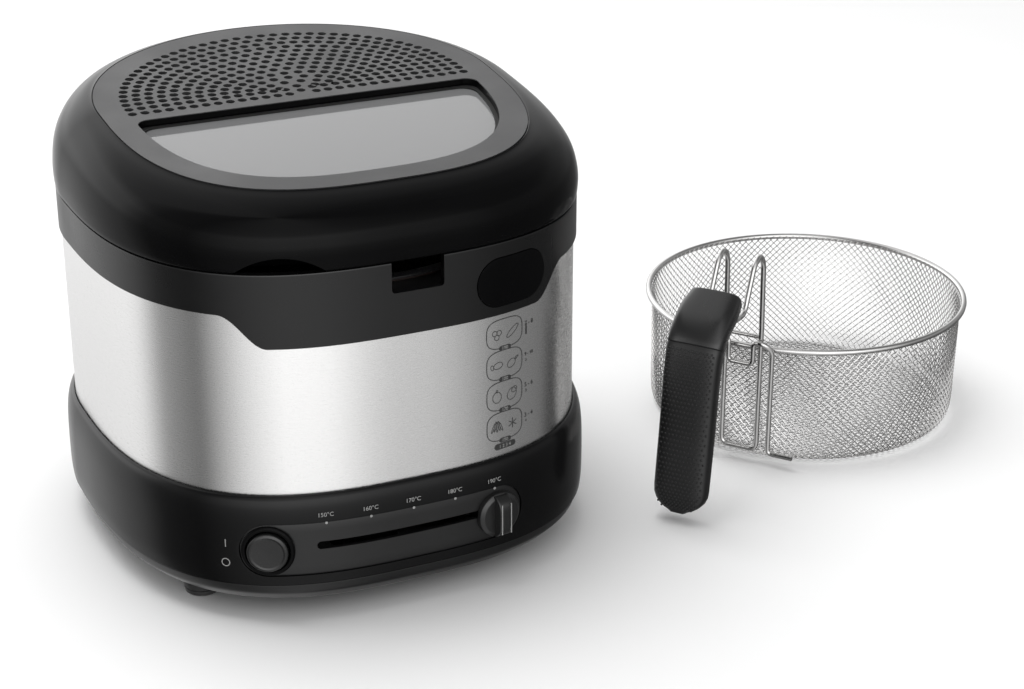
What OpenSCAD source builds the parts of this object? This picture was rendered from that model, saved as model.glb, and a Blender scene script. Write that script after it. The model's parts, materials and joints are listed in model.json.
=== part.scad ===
// Compact deep fryer with a hinged viewing lid, a slide temperature control and a wire basket.
// Millimetres, +Z up, front towards -Y. The origin is on the worktop, under the middle of the box that
// holds the fryer and its basket. The basket stands on the fryer's +X side, with its handle hooked on.
// The modules are drawn about the fryer's own middle, and at_origin() moves them.

/* [Body] */
// Half of the body's width at the lid seam
half_w = 140; // [125:1:160]
// Depth of the front part of the plan, from the widest line forwards
front_b = 164.5; // [150:0.5:175]
// Depth of the rear part of the plan, from the widest line backwards
back_b = 128.5; // [120:0.5:140]
// Squareness of the front corners
front_n = 2.81; // [2.2:0.01:3.2]
// Squareness of the rear corners
back_n = 2.03; // [1.9:0.01:2.6]
// Height of the feet
foot_h = 8; // [6:0.5:8]
// Height of the seam between the bottom pan and the base
pan_z = 22; // [20:0.5:24]
// Height where the steel band meets the base
band_z = 74; // [70:0.5:76]
// Height of the lower edge of the top ring
ring_z = 176; // [174:0.5:178]
// Height of the lower edge of the front shield
shield_z = 158; // [154:0.5:162]
// Height of the seam between the top ring and the lid
seam_z = 199; // [197:0.5:200]

/* [Bowl] */
// Inside radius of the oil bowl
bowl_r = 106; // [104:0.5:107]
// Centre of the bowl, in front of the origin
bowl_y = -12; // [-14:0.5:-10]
// Height of the bowl's inside floor
bowl_floor = 66; // [64:1:76]

/* [Lid] */
// Height of the lid's top plate on the widest line
top_z = 246; // [244:0.5:248]
// Slope of the lid's top plate, rising to the rear, in degrees
top_slope = 5.15; // [4:0.05:6]
// Distance of the top plate's edge inside the plan
top_inset = 24; // [22:0.5:26]
// Width of the frame round the window and the grille
frame_w = 15; // [13:0.5:17]
// Hole spacing in the grille
hole_pitch = 7; // [6.5:0.25:9]
// Hole diameter in the grille
hole_d = 4.4; // [3:0.2:4.8]
// Opening angle of the lid
lid_open = 82; // [60:1:85]

/* [Controls] */
// Height of the control strip's centre line
ctrl_z = 43.5; // [42:0.5:45]
// Half height of the control strip
ctrl_r = 15.2; // [14:0.1:16]
// Radius of the arc that the temperature knob runs on
slide_r = 324; // [320:1:330]
// Resting angle of the temperature knob, at its hottest mark
slide_rest = 8.4; // [8:0.1:9]
// Place of the power button across the front
power_x = -81.4; // [-84:0.1:-78]
// Place of the release button across the front
release_x = 60.3; // [58:0.1:62]
// Height of the release button's centre
release_z = 176.8; // [175:0.1:178]

/* [Basket] */
// Where the basket stands
basket_x = 329; // [300:1:360]
basket_y = -10; // [-40:1:20]
// Outer radius of the mesh
mesh_r = 98.7; // [94:0.1:99]
// Height of the rim wire's centre
rim_z = 76.3; // [70:0.1:80]
// Direction of the handle, in degrees
handle_dir = -143; // [-150:1:-125]
// Radius of the bent wires
wire_r = 1.6; // [1.4:0.1:1.7]
// Distance between the two sides of the handle wire
wire_gap = 23; // [22.5:0.5:23.5]

/* [Hidden] */
steps = 72;                             // points round a body outline
plan_y = (front_b - back_b) / 2;        // the plan's widest line, so that front and rear are equal
wall = 2.5;                             // wall of the moulded covers
slope = tan(top_slope);
base_d = -4.2;                          // how far the base stands out of the plan
fascia_d = -3;                          // the control strip lies just below the base's surface
slot_z = ctrl_z + 1.6;                  // height of the temperature knob's slot
knob_r = 13;                            // round foot of the temperature knob
latch_y = -122.6;                       // front face of the latch hook's upright
press = 3.5;                            // travel of the release button
hinge_y = 150.5; hinge_z = 203; pin_r = 2.5;
notch_x = 3.4; notch_w = 29.4; notch_z = 182;
deck_z = 177;                           // underside of the deck that carries the bowl
slide_y = plan_y - front_b + fascia_d + slide_r;
boss_xy = [[-104, -86], [104, -86], [-95, 80], [95, 80]]; // feet and screw bosses
lid_boss = [for (x = [-112, 112], y = [-60, 60]) [x, y]];
rim_r = mesh_r + 0.05 + 1.9;            // rim wire radius 1.9
tongue_u = rim_r + 1.9 + 0.15 + wire_r; // the handle's tongue passes outside the rim
cross_u = tongue_u + 2 * wire_r + 0.2;  // the bracket's crossbar passes outside the tongue
mid_x = (basket_x + rim_r + 1.9 - half_w + base_d)
    / 2; // middle between the base's side and the basket's rim
mid_y = 4.334;                          // middle between the knob's face and the cord gland

module at_origin() { translate([-mid_x, -mid_y, 0]) children(); }

// ---------- outlines and skins ----------
function sgn(v) = v < 0 ? -1 : 1;
// point of the plan at angle t, moved in by d, with the front moved in by f more
function plan_pt(t, d, f = 0) = let (c = cos(t), s = sin(t), n = s < 0 ? front_n : back_n,
    b = s < 0 ? front_b - d - f : back_b - d)
    [(half_w - d) * sgn(c) * pow(abs(c), 2 / n), plan_y + b * sgn(s) * pow(abs(s), 2 / n)];
function plan(d, f = 0) = [for (i = [0:steps - 1]) plan_pt(360 * i / steps, d, f)];
// the same outline as a ring in space, at height z with a slope k along Y
function ring3(d, z, k = 0, f = 0) = [for (p = plan(d, f)) [p[0], p[1], z + k * (p[1] - plan_y)]];
// depth of the plan's front at x
function front_y(x, d) = plan_y - (front_b - d) * pow(1 - pow(abs(x) / (half_w - d), front_n), 1 / front_n);
// window outline: the plan's front part, closed by a straight edge at y1 with round corners r
function window(d, y1, r) = let (t0 = asin(pow((plan_y - y1 + r) / (front_b - d - 4), front_n / 2)),
    x1 = plan_pt(180 + t0, d, 4)[0])
    concat([for (i = [0:48]) plan_pt(180 + t0 + (180 - 2 * t0) * i / 48, d, 4)],
        [for (a = [15:15:90]) [-x1 - r + r * cos(a), y1 - r + r * sin(a)]],
        [for (a = [90:15:165]) [x1 + r + r * cos(a), y1 - r + r * sin(a)]]);

// closed skin through rings of equal length; a tube closes on itself, otherwise the ends are capped
module skin(rings, tube = false) {
    m = len(rings); n = len(rings[0]);
    polyhedron([for (r = rings) each r], concat(
        [for (j = [0:m - (tube ? 1 : 2)], i = [0:n - 1], h = [0, 1])
            let (a = j * n + i, b = j * n + (i + 1) % n, k = ((j + 1) % m) * n)
            h == 0 ? [a, k + i, b] : [b, k + i, k + (i + 1) % n]],
        tube ? [] : [[for (i = [0:n - 1]) i], [for (i = [n - 1:-1:0]) (m - 1) * n + i]]));
}
// upright wall between two insets of the plan
module plan_wall(d0, d1, z0, z1) {
    translate([0, 0, z0]) linear_extrude(z1 - z0) difference() { polygon(plan(d0)); polygon(plan(d1)); }
}
module box(x, y, z) { // box from three [low, high] pairs
    translate([x[0], y[0], z[0]]) cube([x[1] - x[0], y[1] - y[0], z[1] - z[0]]);
}
module rod(x, y, z, r, h) { translate([x, y, z]) cylinder(r = r, h = h, $fn = 40); }
module tube(r, ri, h) { difference() { cylinder(r = r, h = h, $fn = 60); translate([0, 0, -1])
    cylinder(r = ri, h = h + 2, $fn = 60); } }
module rod_x(x0, x1, y, z, r) { translate([x0, y, z]) rotate([0, 90, 0])
    cylinder(r = r, h = x1 - x0, $fn = 40); }
module stadium(x, z, w, h) { // seen from the front, 80 deep, centred on x and z
    for (s = [-1, 1]) translate([x + s * (w - h) / 2, -100, z]) rotate([90, 0, 0])
        cylinder(r = h / 2, h = 80, $fn = 60);
    box([x - (w - h) / 2, x + (w - h) / 2], [-180, -100], [z - h / 2, z + h / 2]);
}
// frame of the lid's top plate: z = 0 is its upper face
module on_top() { translate([0, plan_y, top_z]) rotate([top_slope, 0, 0]) translate([0, -plan_y, 0])
    children(); }
// frame on the front surface at x: +Z points outwards along the surface's normal
function front_turn(x) = atan2(front_y(x + 1, fascia_d) - front_y(x - 1, fascia_d), 2);
module on_front(x, z) {
    translate([x, front_y(x, fascia_d), z]) rotate([0, 0, front_turn(x)]) rotate([90, 0, 0]) children();
}
// frame of the slide: turned about the arc's centre, +Z up, the knob's side at radius slide_r
module on_slide(a) { translate([0, slide_y, 0]) rotate([0, 0, a - 90]) children(); }
module arc(r0, r1, z0, z1, a0, a1) {
    rotate([0, 0, a0]) rotate_extrude(angle = a1 - a0, $fn = 720) translate([r0, z0])
        square([r1 - r0, z1 - z0]);
}

// ---------- bent wires ----------
function unit(v) = v / norm(v);
// path with each inner corner replaced by a bend of reach r
function bend(p, r) = concat([p[0]], [for (i = [1:len(p) - 2])
    let (k = min(r, norm(p[i] - p[i - 1]) * 0.49, norm(p[i + 1] - p[i]) * 0.49),
        a = p[i] + unit(p[i - 1] - p[i]) * k, b = p[i] + unit(p[i + 1] - p[i]) * k)
    for (t = [0:0.25:1]) a * (1 - t) * (1 - t) + p[i] * 2 * t * (1 - t) + b * t * t], [p[len(p) - 1]]);
module wire(p, r, ref, sides = 12) {
    skin([for (i = [0:len(p) - 1])
        let (t = unit(p[min(i + 1, len(p) - 1)] - p[max(i - 1, 0)]), u = unit(cross(ref, t)),
            v = cross(t, u))
        [for (k = [0:sides - 1]) p[i] + r * (u * cos(360 * k / sides) + v * sin(360 * k / sides))]]);
}
module coil(r, wire_d, length, turns) {
    wire([for (i = [0:turns * 16]) [r * cos(i * 22.5), r * sin(i * 22.5), length * i / (turns * 16)]],
        wire_d / 2, [0, 0, 1], 6);
}

// ---------- housing ----------
module bottom_pan() color("#1a1a1a") difference() {
    union() {
        skin([ring3(9, foot_h), ring3(3.4, foot_h + 2.6), ring3(-1, foot_h + 8), ring3(-3, pan_z),
              ring3(-0.6, pan_z), ring3(1.5, foot_h + 8.4), ring3(5.6, foot_h + 4),
                  ring3(10, foot_h + wall)]);
        for (p = boss_xy) rod(p[0], p[1], foot_h + 1, 7, 9);
    }
    for (p = boss_xy) { rod(p[0], p[1], foot_h - 1, 2.2, 20); rod(p[0], p[1], foot_h - 1, 6.2, 5.2); }
    for (i = [-5:5]) box([i * 12 - 2, i * 12 + 2], [20, 70], [foot_h - 1, foot_h + 4]);
}
module rubber_feet() color("#0c0c0c") for (p = boss_xy) translate([p[0], p[1], 0]) difference() {
    union() { cylinder(r1 = 10, r2 = 11, h = foot_h - 0.1, $fn = 48); translate([0, 0, foot_h - 0.2])
        cylinder(r = 6, h = 2, $fn = 48); }
    translate([0, 0, 3]) cylinder(r = 4, h = 10, $fn = 40);
}
module base_screws() color("#9a9a9a") for (p = boss_xy) translate([p[0], p[1], foot_h + 1.9]) {
    cylinder(r = 3.8, h = 2.2, $fn = 40); cylinder(r = 2, h = 16, $fn = 40);
}
module ctrl_cut(g) { // opening for the control strip, with a gap g all round
    for (x = [power_x, 48]) on_front(x, ctrl_z) translate([0, 0, -12])
        cylinder(r = ctrl_r + g, h = 24, $fn = 72);
    box([power_x, 48], [-170, -128], [ctrl_z - ctrl_r - g, ctrl_z + ctrl_r + g]);
}
module base_shell() color("#121212") difference() {
    union() {
        skin([ring3(-3.4, pan_z + 0.2), ring3(-4.1, pan_z + 6), ring3(base_d, 42), ring3(-4, 60),
            ring3(-3.4, 67),
              ring3(-2.3, band_z - 2.4), ring3(-0.9, band_z - 0.5), ring3(1.2, band_z),
                  ring3(1.3, band_z - 3.5),
              ring3(4.6, band_z - 3.5), ring3(4.6, band_z - 6.5), ring3(-1, band_z - 13), ring3(-1.7, 42),
              ring3(-1, pan_z + 0.2)], tube = true);
        for (p = boss_xy) {
            rod(p[0], p[1], foot_h + 10.2, 5.5, 34 - foot_h);
            intersection() { // rib from the screw boss to the wall
                box([p[0] - 1.2, p[0] + 1.2], p[1] < 0 ? [-140, p[1]] : [p[1], 140], [pan_z + 2, 44]);
                linear_extrude(60) polygon(plan(-2.2));
            }
        }
    }
    for (p = boss_xy) rod(p[0], p[1], foot_h + 9, 2.05, 12);
    ctrl_cut(0.2);
    translate([0, 158, 40]) rotate([90, 0, 0]) cylinder(r = 8.1, h = 20, $fn = 60);
}
module cord_gland() color("#0c0c0c") translate([0, 156, 40]) rotate([90, 0, 0]) difference() {
    union() {
        translate([0, 0, -9]) cylinder(r1 = 6, r2 = 8, h = 9.1, $fn = 60);
        cylinder(r = 10.5, h = 4.6, $fn = 60);
        cylinder(r = 8, h = 9, $fn = 60);
        translate([0, 0, 8.4]) cylinder(r = 9.4, h = 2.6, $fn = 60);
    }
    translate([0, 0, -10]) cylinder(r = 3.5, h = 24, $fn = 60);
}
module steel_band() color("#b9b9b9") difference() {
    plan_wall(1.5, 2.3, band_z - 3.4, ring_z + 7.8);
    stadium(release_x, release_z, 52, 33);
    box([notch_x - notch_w / 2 - 4, notch_x + notch_w / 2 + 4], [-160, -120], [ring_z - 1.4, 200]);
}
// lower edge of the front shield: a soft S from the ring's edge down to the shield's
function shield_half() = [for (i = [0:8])
    [76 + 22.5 * i / 8, shield_z + (ring_z - shield_z) * (1 - cos(180 * i / 8)) / 2]];
module shield_face() {
    h = shield_half();
    translate([0, -100, 0]) rotate([90, 0, 0]) linear_extrude(70)
        polygon(concat([for (i = [8:-1:0]) [-h[i][0], h[i][1]]], h,
            [[98.5, ring_z + 1], [-98.5, ring_z + 1]]));
}
module top_ring() color("#151515") difference() {
    union() {
        plan_wall(0, 1.4, ring_z, ring_z + 8.5);
        plan_wall(0, 4.2, ring_z + 8, seam_z);
        plan_wall(2.6, 4.3, deck_z, ring_z + 9);
        intersection() { plan_wall(0, 1.4, shield_z - 1, ring_z + 0.5); shield_face(); }
        difference() {
            translate([0, 0, deck_z]) linear_extrude(2.5) polygon(plan(4));
            translate([0, bowl_y, deck_z - 1]) cylinder(r = bowl_r + 2.6, h = 5, $fn = 120);
        }
        intersection() {
            plan_wall(0, 6, ring_z - 1.2, notch_z);
            box([notch_x - notch_w / 2 - 3, notch_x + notch_w / 2 + 3], [-160, -120],
                [ring_z - 2, notch_z]);
        }
        box([release_x - 6, release_x + 6], [latch_y + 11, latch_y + 13],
            [release_z - 11, deck_z + 0.5]); // spring seat
        for (s = [-1, 1]) difference() {
            union() {
                box([s * 46 - 6, s * 46 + 6], [137.4, hinge_y + 6.5], [ring_z + 14, seam_z - 0.1]);
                box([s * 46 - 6, s * 46 + 6], [hinge_y - 6, hinge_y + 6.5], [seam_z - 0.2, hinge_z]);
                rod_x(s * 46 - 6, s * 46 + 6, hinge_y, hinge_z, 6.5);
            }
            rod_x(s * 46 - 10, s * 46 + 10, hinge_y, hinge_z, pin_r + 0.02);
        }
    }
    box([notch_x - notch_w / 2, notch_x + notch_w / 2], [-160, -118], [notch_z, seam_z + 1]);
    intersection() { stadium(release_x, release_z, 47.4, 28.1); box([0, 140], [-170, -117], [150, 198]); }
    box([release_x - 9, release_x + 9], [latch_y - 8, latch_y + 8], [deck_z - 1, deck_z + 4]);
}
module hinge_pin() color("#8c8c8c") rod_x(-54, 54, hinge_y, hinge_z, pin_r);

// ---------- bowl and heating ----------
module bowl() color("#6a6a6a") translate([0, bowl_y, 0]) rotate_extrude($fn = 144) difference() {
    union() {
        polygon([[0, bowl_floor - 1.2], [bowl_r - 16, bowl_floor - 1.2], [bowl_r - 9.5, bowl_floor + 0.8],
            [bowl_r - 5, bowl_floor + 5.3], [bowl_r - 3, bowl_floor + 12], [bowl_r + 1.2, deck_z + 3.6],
            [bowl_r + 7, deck_z + 3.6], [bowl_r + 7, deck_z + 4.8], [0, deck_z + 4.8]]);
    }
    polygon([[-1, bowl_floor], [bowl_r - 16.4, bowl_floor], [bowl_r - 10.4, bowl_floor + 1.8],
        [bowl_r - 6.2, bowl_floor + 6], [bowl_r - 4.2, bowl_floor + 12.2], [bowl_r, deck_z + 4],
        [bowl_r, deck_z + 6], [-1, deck_z + 6]]);
}
module bowl_gasket() color("#5a2a20") translate([0, bowl_y, deck_z + 2.6])
    tube(bowl_r + 6.4, bowl_r + 3, 0.9);
module heating_element() color("#4a4a4a") translate([0, bowl_y, bowl_floor - 5.4]) {
    rotate([0, 0, 115]) rotate_extrude(angle = 310, $fn = 120) translate([66, 0]) circle(r = 4, $fn = 32);
    for (a = [115, 65]) rotate([0, 0, a]) translate([66, a == 115 ? 0.4 : -0.4, 0]) {
        sphere(r = 4.1, $fn = 40);
        rotate([180, 0, 0]) cylinder(r = 3.2, h = 12, $fn = 32);
    }
}
module element_straps() color("#a0a0a0") translate([0, bowl_y, bowl_floor - 10.8])
    for (a = [200, 270, 340]) rotate([0, 0, a])
    box([52, 82], [-7, 7], [0, 1.2]);
module heat_shield() color("#8f8f8f") translate([0, bowl_y, 0]) difference() {
    rotate_extrude($fn = 120) polygon([[0, 48], [96, 48], [102, 56], [101.2, 57], [95.4, 49], [0, 49]]);
    for (a = [115, 65]) rotate([0, 0, a]) translate([66, 0, 40]) cylinder(r = 7, h = 20, $fn = 40);
    for (a = [45:90:315]) rotate([0, 0, a]) translate([88, 0, 40]) cylinder(r = 2.1, h = 20, $fn = 40);
}
module shield_posts() color("#777777") translate([0, bowl_y, 0]) for (a = [45:90:315])
    rotate([0, 0, a]) translate([88, 0, foot_h + wall + 0.1]) {
    cylinder(r = 4, h = 48 - foot_h - wall - 0.2, $fn = 40); cylinder(r = 2, h = 42, $fn = 40);
}
module thermal_fuse() color("#c9c9c9") { box([-9, 9], [bowl_y - 5, bowl_y + 5],
    [bowl_floor - 7.4, bowl_floor - 1.3]); rod_x(-16, -8.8, bowl_y, bowl_floor - 4.5, 1.5);
        rod_x(8.8, 16, bowl_y, bowl_floor - 4.5, 1.5); }
module sensor_bulb() color("#c08050") {
    rod_x(-20, 22, bowl_y - 34, bowl_floor - 4.6, 3.2);
    wire(bend([[-19, -46, 61.4], [-30, -52, 60], [-40, -60, 52.6], [-50, -64, 53], [-66, -76, 60.4],
        [-84, -88, 60.2],
        [-76, -110, 60], [-52, -121, 58], [-26, -118, 52], [-24, -117, 50], [-24, -117, 45.1]], 8), 1,
            [0.3, 0.2, 1], 8);
}
module regulator_body() color("#d8d4c8") { box([-36, -4], [-128, -106], [24, 45]);
    box([-30, -10], [-131, -127.9], [30, 40]); }
module terminal_block() color("#e6e2d6") difference() {
    box([-26, 26], [100, 118], [foot_h + wall + 0.1, 30]);
    for (i = [-1:1]) rod(i * 16, 109, 20, 3, 20);
}
module power_switch() color("#222222") on_front(power_x, ctrl_z) translate([-13, -10.5, -40])
    cube([26, 21, 25]);
module wiring() color("#b33a2a") {
    wire(bend([[-16, 104, 31.6], [-16, 92, 36], [-70, 60, 30], [-104, -20, 30], [-88, -62, 36],
        [-72, -86, 44], [-62.6, -98.6, 44]],
        12), 1.4, [0.2, 0.1, 1], 8);
    wire(bend([[0, 104, 31.6], [0, 96, 38], [-22, 76, 40], [-27.9, 52, 40], [-27.9, 47.8, 47.9]], 8),
        1.4, [0.2, 1, 0.1], 8);
    wire(bend([[27.9, 47.8, 47.9], [30, 44, 38], [62, -20, 34], [34, -84, 32], [10, -112, 34],
        [-3.8, -114, 34]], 10), 1.4,
        [0.2, 0.3, 1], 8);
}

// ---------- controls ----------
module control_fascia() color("#1c1c1c") difference() {
    intersection() { plan_wall(fascia_d, fascia_d + 2.2, 20, 70); ctrl_cut(0); }
    on_front(power_x, ctrl_z) translate([0, 0, -10]) cylinder(r = 13.2, h = 20, $fn = 72);
    on_slide(0) arc(slide_r - 8, slide_r + 6, slot_z - 2.3, slot_z + 2.3, -9.7, 9.7);
    for (s = [-1, 1]) on_slide(s * 9.7) translate([slide_r - 8, 0, slot_z]) rotate([0, 90, 0])
        cylinder(r = 2.3, h = 14, $fn = 40);
}
module slide_rail() color("#2a2a2a") on_slide(0) {
    for (s = [-1, 1]) arc(slide_r - 9.5, slide_r - 3.2, slot_z + s * 9 - 1.8, slot_z + s * 9 + 1.8,
        -11.6, 11.6);
    for (a = [-11.5, 11.1]) arc(slide_r - 9.5, slide_r - 3.2, slot_z - 8, slot_z + 8, a, a + 0.45);
}
module button_bezel() color("#0e0e0e") on_front(power_x, ctrl_z) {
    translate([0, 0, -6]) tube(13.1, 11.7, 8.4);
    translate([0, 0, 0.9]) tube(14.7, 12, 1.5);
}
module power_button() color("#1b1b1b") on_front(power_x, ctrl_z) rotate_extrude($fn = 96)
    polygon([[0, -3], [11.2, -3], [11.2, 3.6], [10.6, 4.4], [8, 4.9], [0, 5.2]]);
module power_stem() color("#e2e2e2") on_front(power_x, ctrl_z) translate([0, 0, -11.4])
    cylinder(r = 4, h = 8.4, $fn = 48);
module temperature_knob() color("#1d1d1d") on_slide(slide_rest)
    translate([slide_r + 1, 0, ctrl_z - 0.6]) rotate([90, 0, 90]) {
    rotate_extrude($fn = 96) polygon([[0, 0], [knob_r, 0], [knob_r, 2.6], [knob_r - 0.8, 3.8],
        [knob_r - 2.4, 4.4], [0, 4.4]]);
    intersection() { // upright fin with a rounded face
        translate([-4.2, -knob_r, 4]) cube([8.4, 2 * knob_r, 6]);
        translate([-5, 0, -knob_r + 4.4]) rotate([0, 90, 0]) cylinder(r = knob_r + 4.4, h = 10, $fn = 120);
    }
    translate([0, slot_z - ctrl_z + 0.6, -9]) cylinder(r = 2, h = 9.2, $fn = 40);
}
module slide_carriage() color("#d9d9d9") on_slide(slide_rest) difference() {
    union() {
        arc(slide_r - 8.8, slide_r - 3.4, slot_z - 6.9, slot_z + 6.9, -1.8, 1.8);
        arc(slide_r - 13, slide_r - 8.7, slot_z + 3, slot_z + 6.8, -0.8, 0.8);
    }
    translate([slide_r - 9, 0, slot_z]) rotate([0, 90, 0]) cylinder(r = 2.02, h = 10, $fn = 40);
}
module release_button() color("#101010") intersection() {
    plan_wall(-0.5, 2.4, 150, 198);
    stadium(release_x, release_z, 46.6, 27.3);
}
module latch_hook() color("#cfcfcf") {
    box([release_x - 5, release_x + 5], [front_y(release_x, 2.4) + 1.3, latch_y + 0.5],
        [release_z - 6, release_z - 0.5]);
    box([release_x - 6, release_x + 6], [latch_y, latch_y + 2.4], [release_z - 10, 196]);
    box([release_x - 6, release_x + 6], [latch_y - 2.4, latch_y + 0.1], [192.8, 195.6]);
}
module release_spring() color("#bdbdbd") translate([release_x, latch_y + 2.4 + press + 0.5,
    release_z - 5.3]) rotate([-90, 0, 0])
    coil(3.4, 0.9, 3.9, 3.5);

// ---------- lid ----------
module lid_shell() color("#101010") difference() {
    union() {
        skin([ring3(0.2, seam_z + 0.3), ring3(-0.5, seam_z + 4), ring3(-0.6, 212, 0.015),
            ring3(0.6, 222, 0.04),
              ring3(4, 231.5, 0.062), ring3(9.5, 238.5, 0.078), ring3(16, 243, 0.086),
                  ring3(22.4, top_z - 0.3, slope, 4),
              ring3(top_inset, top_z, slope, 4), ring3(top_inset, top_z - 2.6, slope, 4),
                  ring3(top_inset + 4, top_z - 2.6, slope, 4),
              ring3(top_inset + 4, top_z - 4.4, slope, 4), ring3(18.4, 240, 0.088, 2),
                  ring3(11, 235, 0.078), ring3(6, 229, 0.062),
              ring3(3, 220.5, 0.04), ring3(2, 211, 0.015), ring3(2.2, seam_z + 0.3)], tube = true);
        for (p = lid_boss) {
            rod(p[0], p[1], seam_z + 6.4, 4.5, 24);
            box([p[0] > 0 ? p[0] : p[0] - 19, p[0] > 0 ? p[0] + 19 : p[0]], [p[1] - 1, p[1] + 1],
                [seam_z + 6.4, 218]);
        }
        intersection() { // thick wall round the finger scoop
            plan_wall(0.8, 17, seam_z + 0.3, seam_z + 13);
            box([-96, -38], [-170, -100], [190, 230]);
        }
        for (s = [-1, 1]) difference() { // hinge knuckles
            union() {
                rod_x(s * 33 - 6.6, s * 33 + 6.6, hinge_y, hinge_z, 5.6);
                box([s * 33 - 6.6, s * 33 + 6.6], [141, hinge_y], [hinge_z, hinge_z + 5.6]);
            }
            rod_x(s * 33 - 9, s * 33 + 9, hinge_y, hinge_z, pin_r + 0.05);
        }
    }
    for (p = lid_boss) rod(p[0], p[1], seam_z + 5, 1.6, 12);
    translate([-67, -133, seam_z - 27.5]) rotate([0, 0, front_turn(-67)]) rotate([90, 0, 0])
        translate([0, 0, -8]) cylinder(r = 36.5, h = 30, $fn = 96);
}
// grille: rows that follow the plan's rear, cut off at the divider
function rows() = [for (d = [top_inset + frame_w + 2:hole_pitch:half_w - 3]) d];
module grille_holes() for (d = rows()) {
    m = max(2, round(PI * (half_w + back_b - 2 * d) / 2 / hole_pitch));
    for (i = [0:m]) translate(plan_pt(180 * i / m, d)) circle(d = hole_d, $fn = 24);
    for (s = [-1, 1]) translate([s * (half_w - d), plan_y - hole_pitch]) circle(d = hole_d, $fn = 24);
}
module top_plate() color("#4c4c4c") on_top() {
    translate([0, 0, -2.4]) linear_extrude(2.4) difference() {
        polygon(plan(top_inset + 0.3, 4));
        polygon(window(top_inset + frame_w, 1, 10));
        grille_holes();
    }
    translate([0, 0, -4.2]) linear_extrude(2) difference() {
        polygon(window(top_inset + frame_w - 2.2, 3.2, 12));
        polygon(window(top_inset + frame_w, 1, 10));
    }
}
module window_seal() color("#1a1a1a") on_top() translate([0, 0, -5.2]) linear_extrude(0.9) difference() {
    polygon(window(top_inset + frame_w - 2.2, 3.2, 12));
    polygon(window(top_inset + frame_w + 2, -1, 9));
}
module window_pane() color([0.5, 0.52, 0.54, 0.6]) on_top() translate([0, 0, -8.3]) linear_extrude(3)
    polygon(window(top_inset + frame_w - 2.2, 3.2, 12));
// rear half of the plan between the divider and inset d
function rear(d, y0) = concat([for (i = [0:36]) plan_pt(180 * i / 36, d)],
    [[-(half_w - d), y0], [half_w - d, y0]]);
module filter_tray() color("#333333") on_top() {
    translate([0, 0, -13.4]) linear_extrude(1.2) difference() {
        polygon(rear(35, 6));
        for (x = [-80:20:80]) for (y = [14, 34, 54, 74]) if (norm([x, (y - plan_y) * 1.1]) < 84)
            translate([x - 7, y]) square([14, 12]);
    }
    translate([0, 0, -12.3]) linear_extrude(9.7) difference()
        { polygon(rear(35, 6)); polygon(rear(36.6, 7.6)); }
}
module filter_pad() color("#8d8d88") on_top() translate([0, 0, -12.1]) linear_extrude(8)
    polygon(rear(37, 8));
module inner_cover() color("#9c9c9c") difference() {
    translate([0, 0, seam_z + 5]) linear_extrude(1.2) difference() {
        polygon(plan(5));
        polygon(window(top_inset + frame_w + 4, -3, 8));
        for (x = [-60:15:60]) translate([x - 3, 26]) square([6, 60]);
        translate([-100, -140]) square([66, 44]);
    }
    for (p = lid_boss) rod(p[0], p[1], seam_z, 2.2, 12);
}
module cover_screws() color("#a5a5a5") for (p = lid_boss) translate([p[0], p[1], seam_z + 3.2]) {
    cylinder(r = 3.4, h = 1.7, $fn = 40); cylinder(r = 1.5, h = 11, $fn = 40);
}
module lid_seal() color("#2b2b2b") difference() {
    plan_wall(5, 8.5, seam_z - 2, seam_z + 4.9);
    box([notch_x - notch_w / 2, notch_x + notch_w / 2], [-160, -118], [190, 202]);
    box([-99, -35], [-160, -100], [190, 210]);
}
module lid_catch() color("#c4c4c4") {
    box([release_x - 5, release_x + 5], [latch_y - 6.8, latch_y - 4.8], [189.2, seam_z + 4.9]);
    box([release_x - 5, release_x + 5], [latch_y - 5, latch_y - 2.8], [189.2, 192.2]);
}

// ---------- basket, standing at the fryer's side ----------
module in_basket() { translate([basket_x, basket_y, 0]) children(); }
// handle frame: +X outwards through the handle, +Y to the left of it
module in_handle() { in_basket() rotate([0, 0, handle_dir]) children(); }
module basket_mesh() color("#a8a8a8") in_basket() rotate_extrude($fn = 144)
    polygon([[0, 0.4], [mesh_r - 7.5, 0.4], [mesh_r - 3.6, 1.8], [mesh_r - 1.6, 5.4], [mesh_r, rim_z],
        [mesh_r - 1, rim_z], [mesh_r - 2.6, 5.8], [mesh_r - 4.4, 2.7], [mesh_r - 7.8, 1.4], [0, 1.4]]);
module basket_rim() color("#9f9f9f") in_basket() translate([0, 0, rim_z]) rotate_extrude($fn = 144)
    translate([rim_r, 0]) circle(r = 1.9, $fn = 32);
module basket_bracket() color("#b5b5b5") in_handle() {
    a = rim_r + 1.9 + 0.05 + wire_r;
    h = [[a, 35, 9], [a, 19, 9], [a, 19, rim_z + 1], [cross_u, 15, rim_z + 6], [cross_u, 8, rim_z + 6],
        [cross_u, 8, rim_z - 8.5]];
    wire(bend(concat(h, [for (i = [len(h) - 1:-1:0]) [h[i][0], -h[i][1], h[i][2]]]), 3.2), wire_r,
        [1, 0.25, 0.1]);
}
grip_path = [[149, 125], [160, 119.5], [170, 113.5], [177.5, 105], [181, 93], [183.5, 76], [186.5, 53],
    [190, 30], [192.5, 13], [193.5, 6]];
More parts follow.
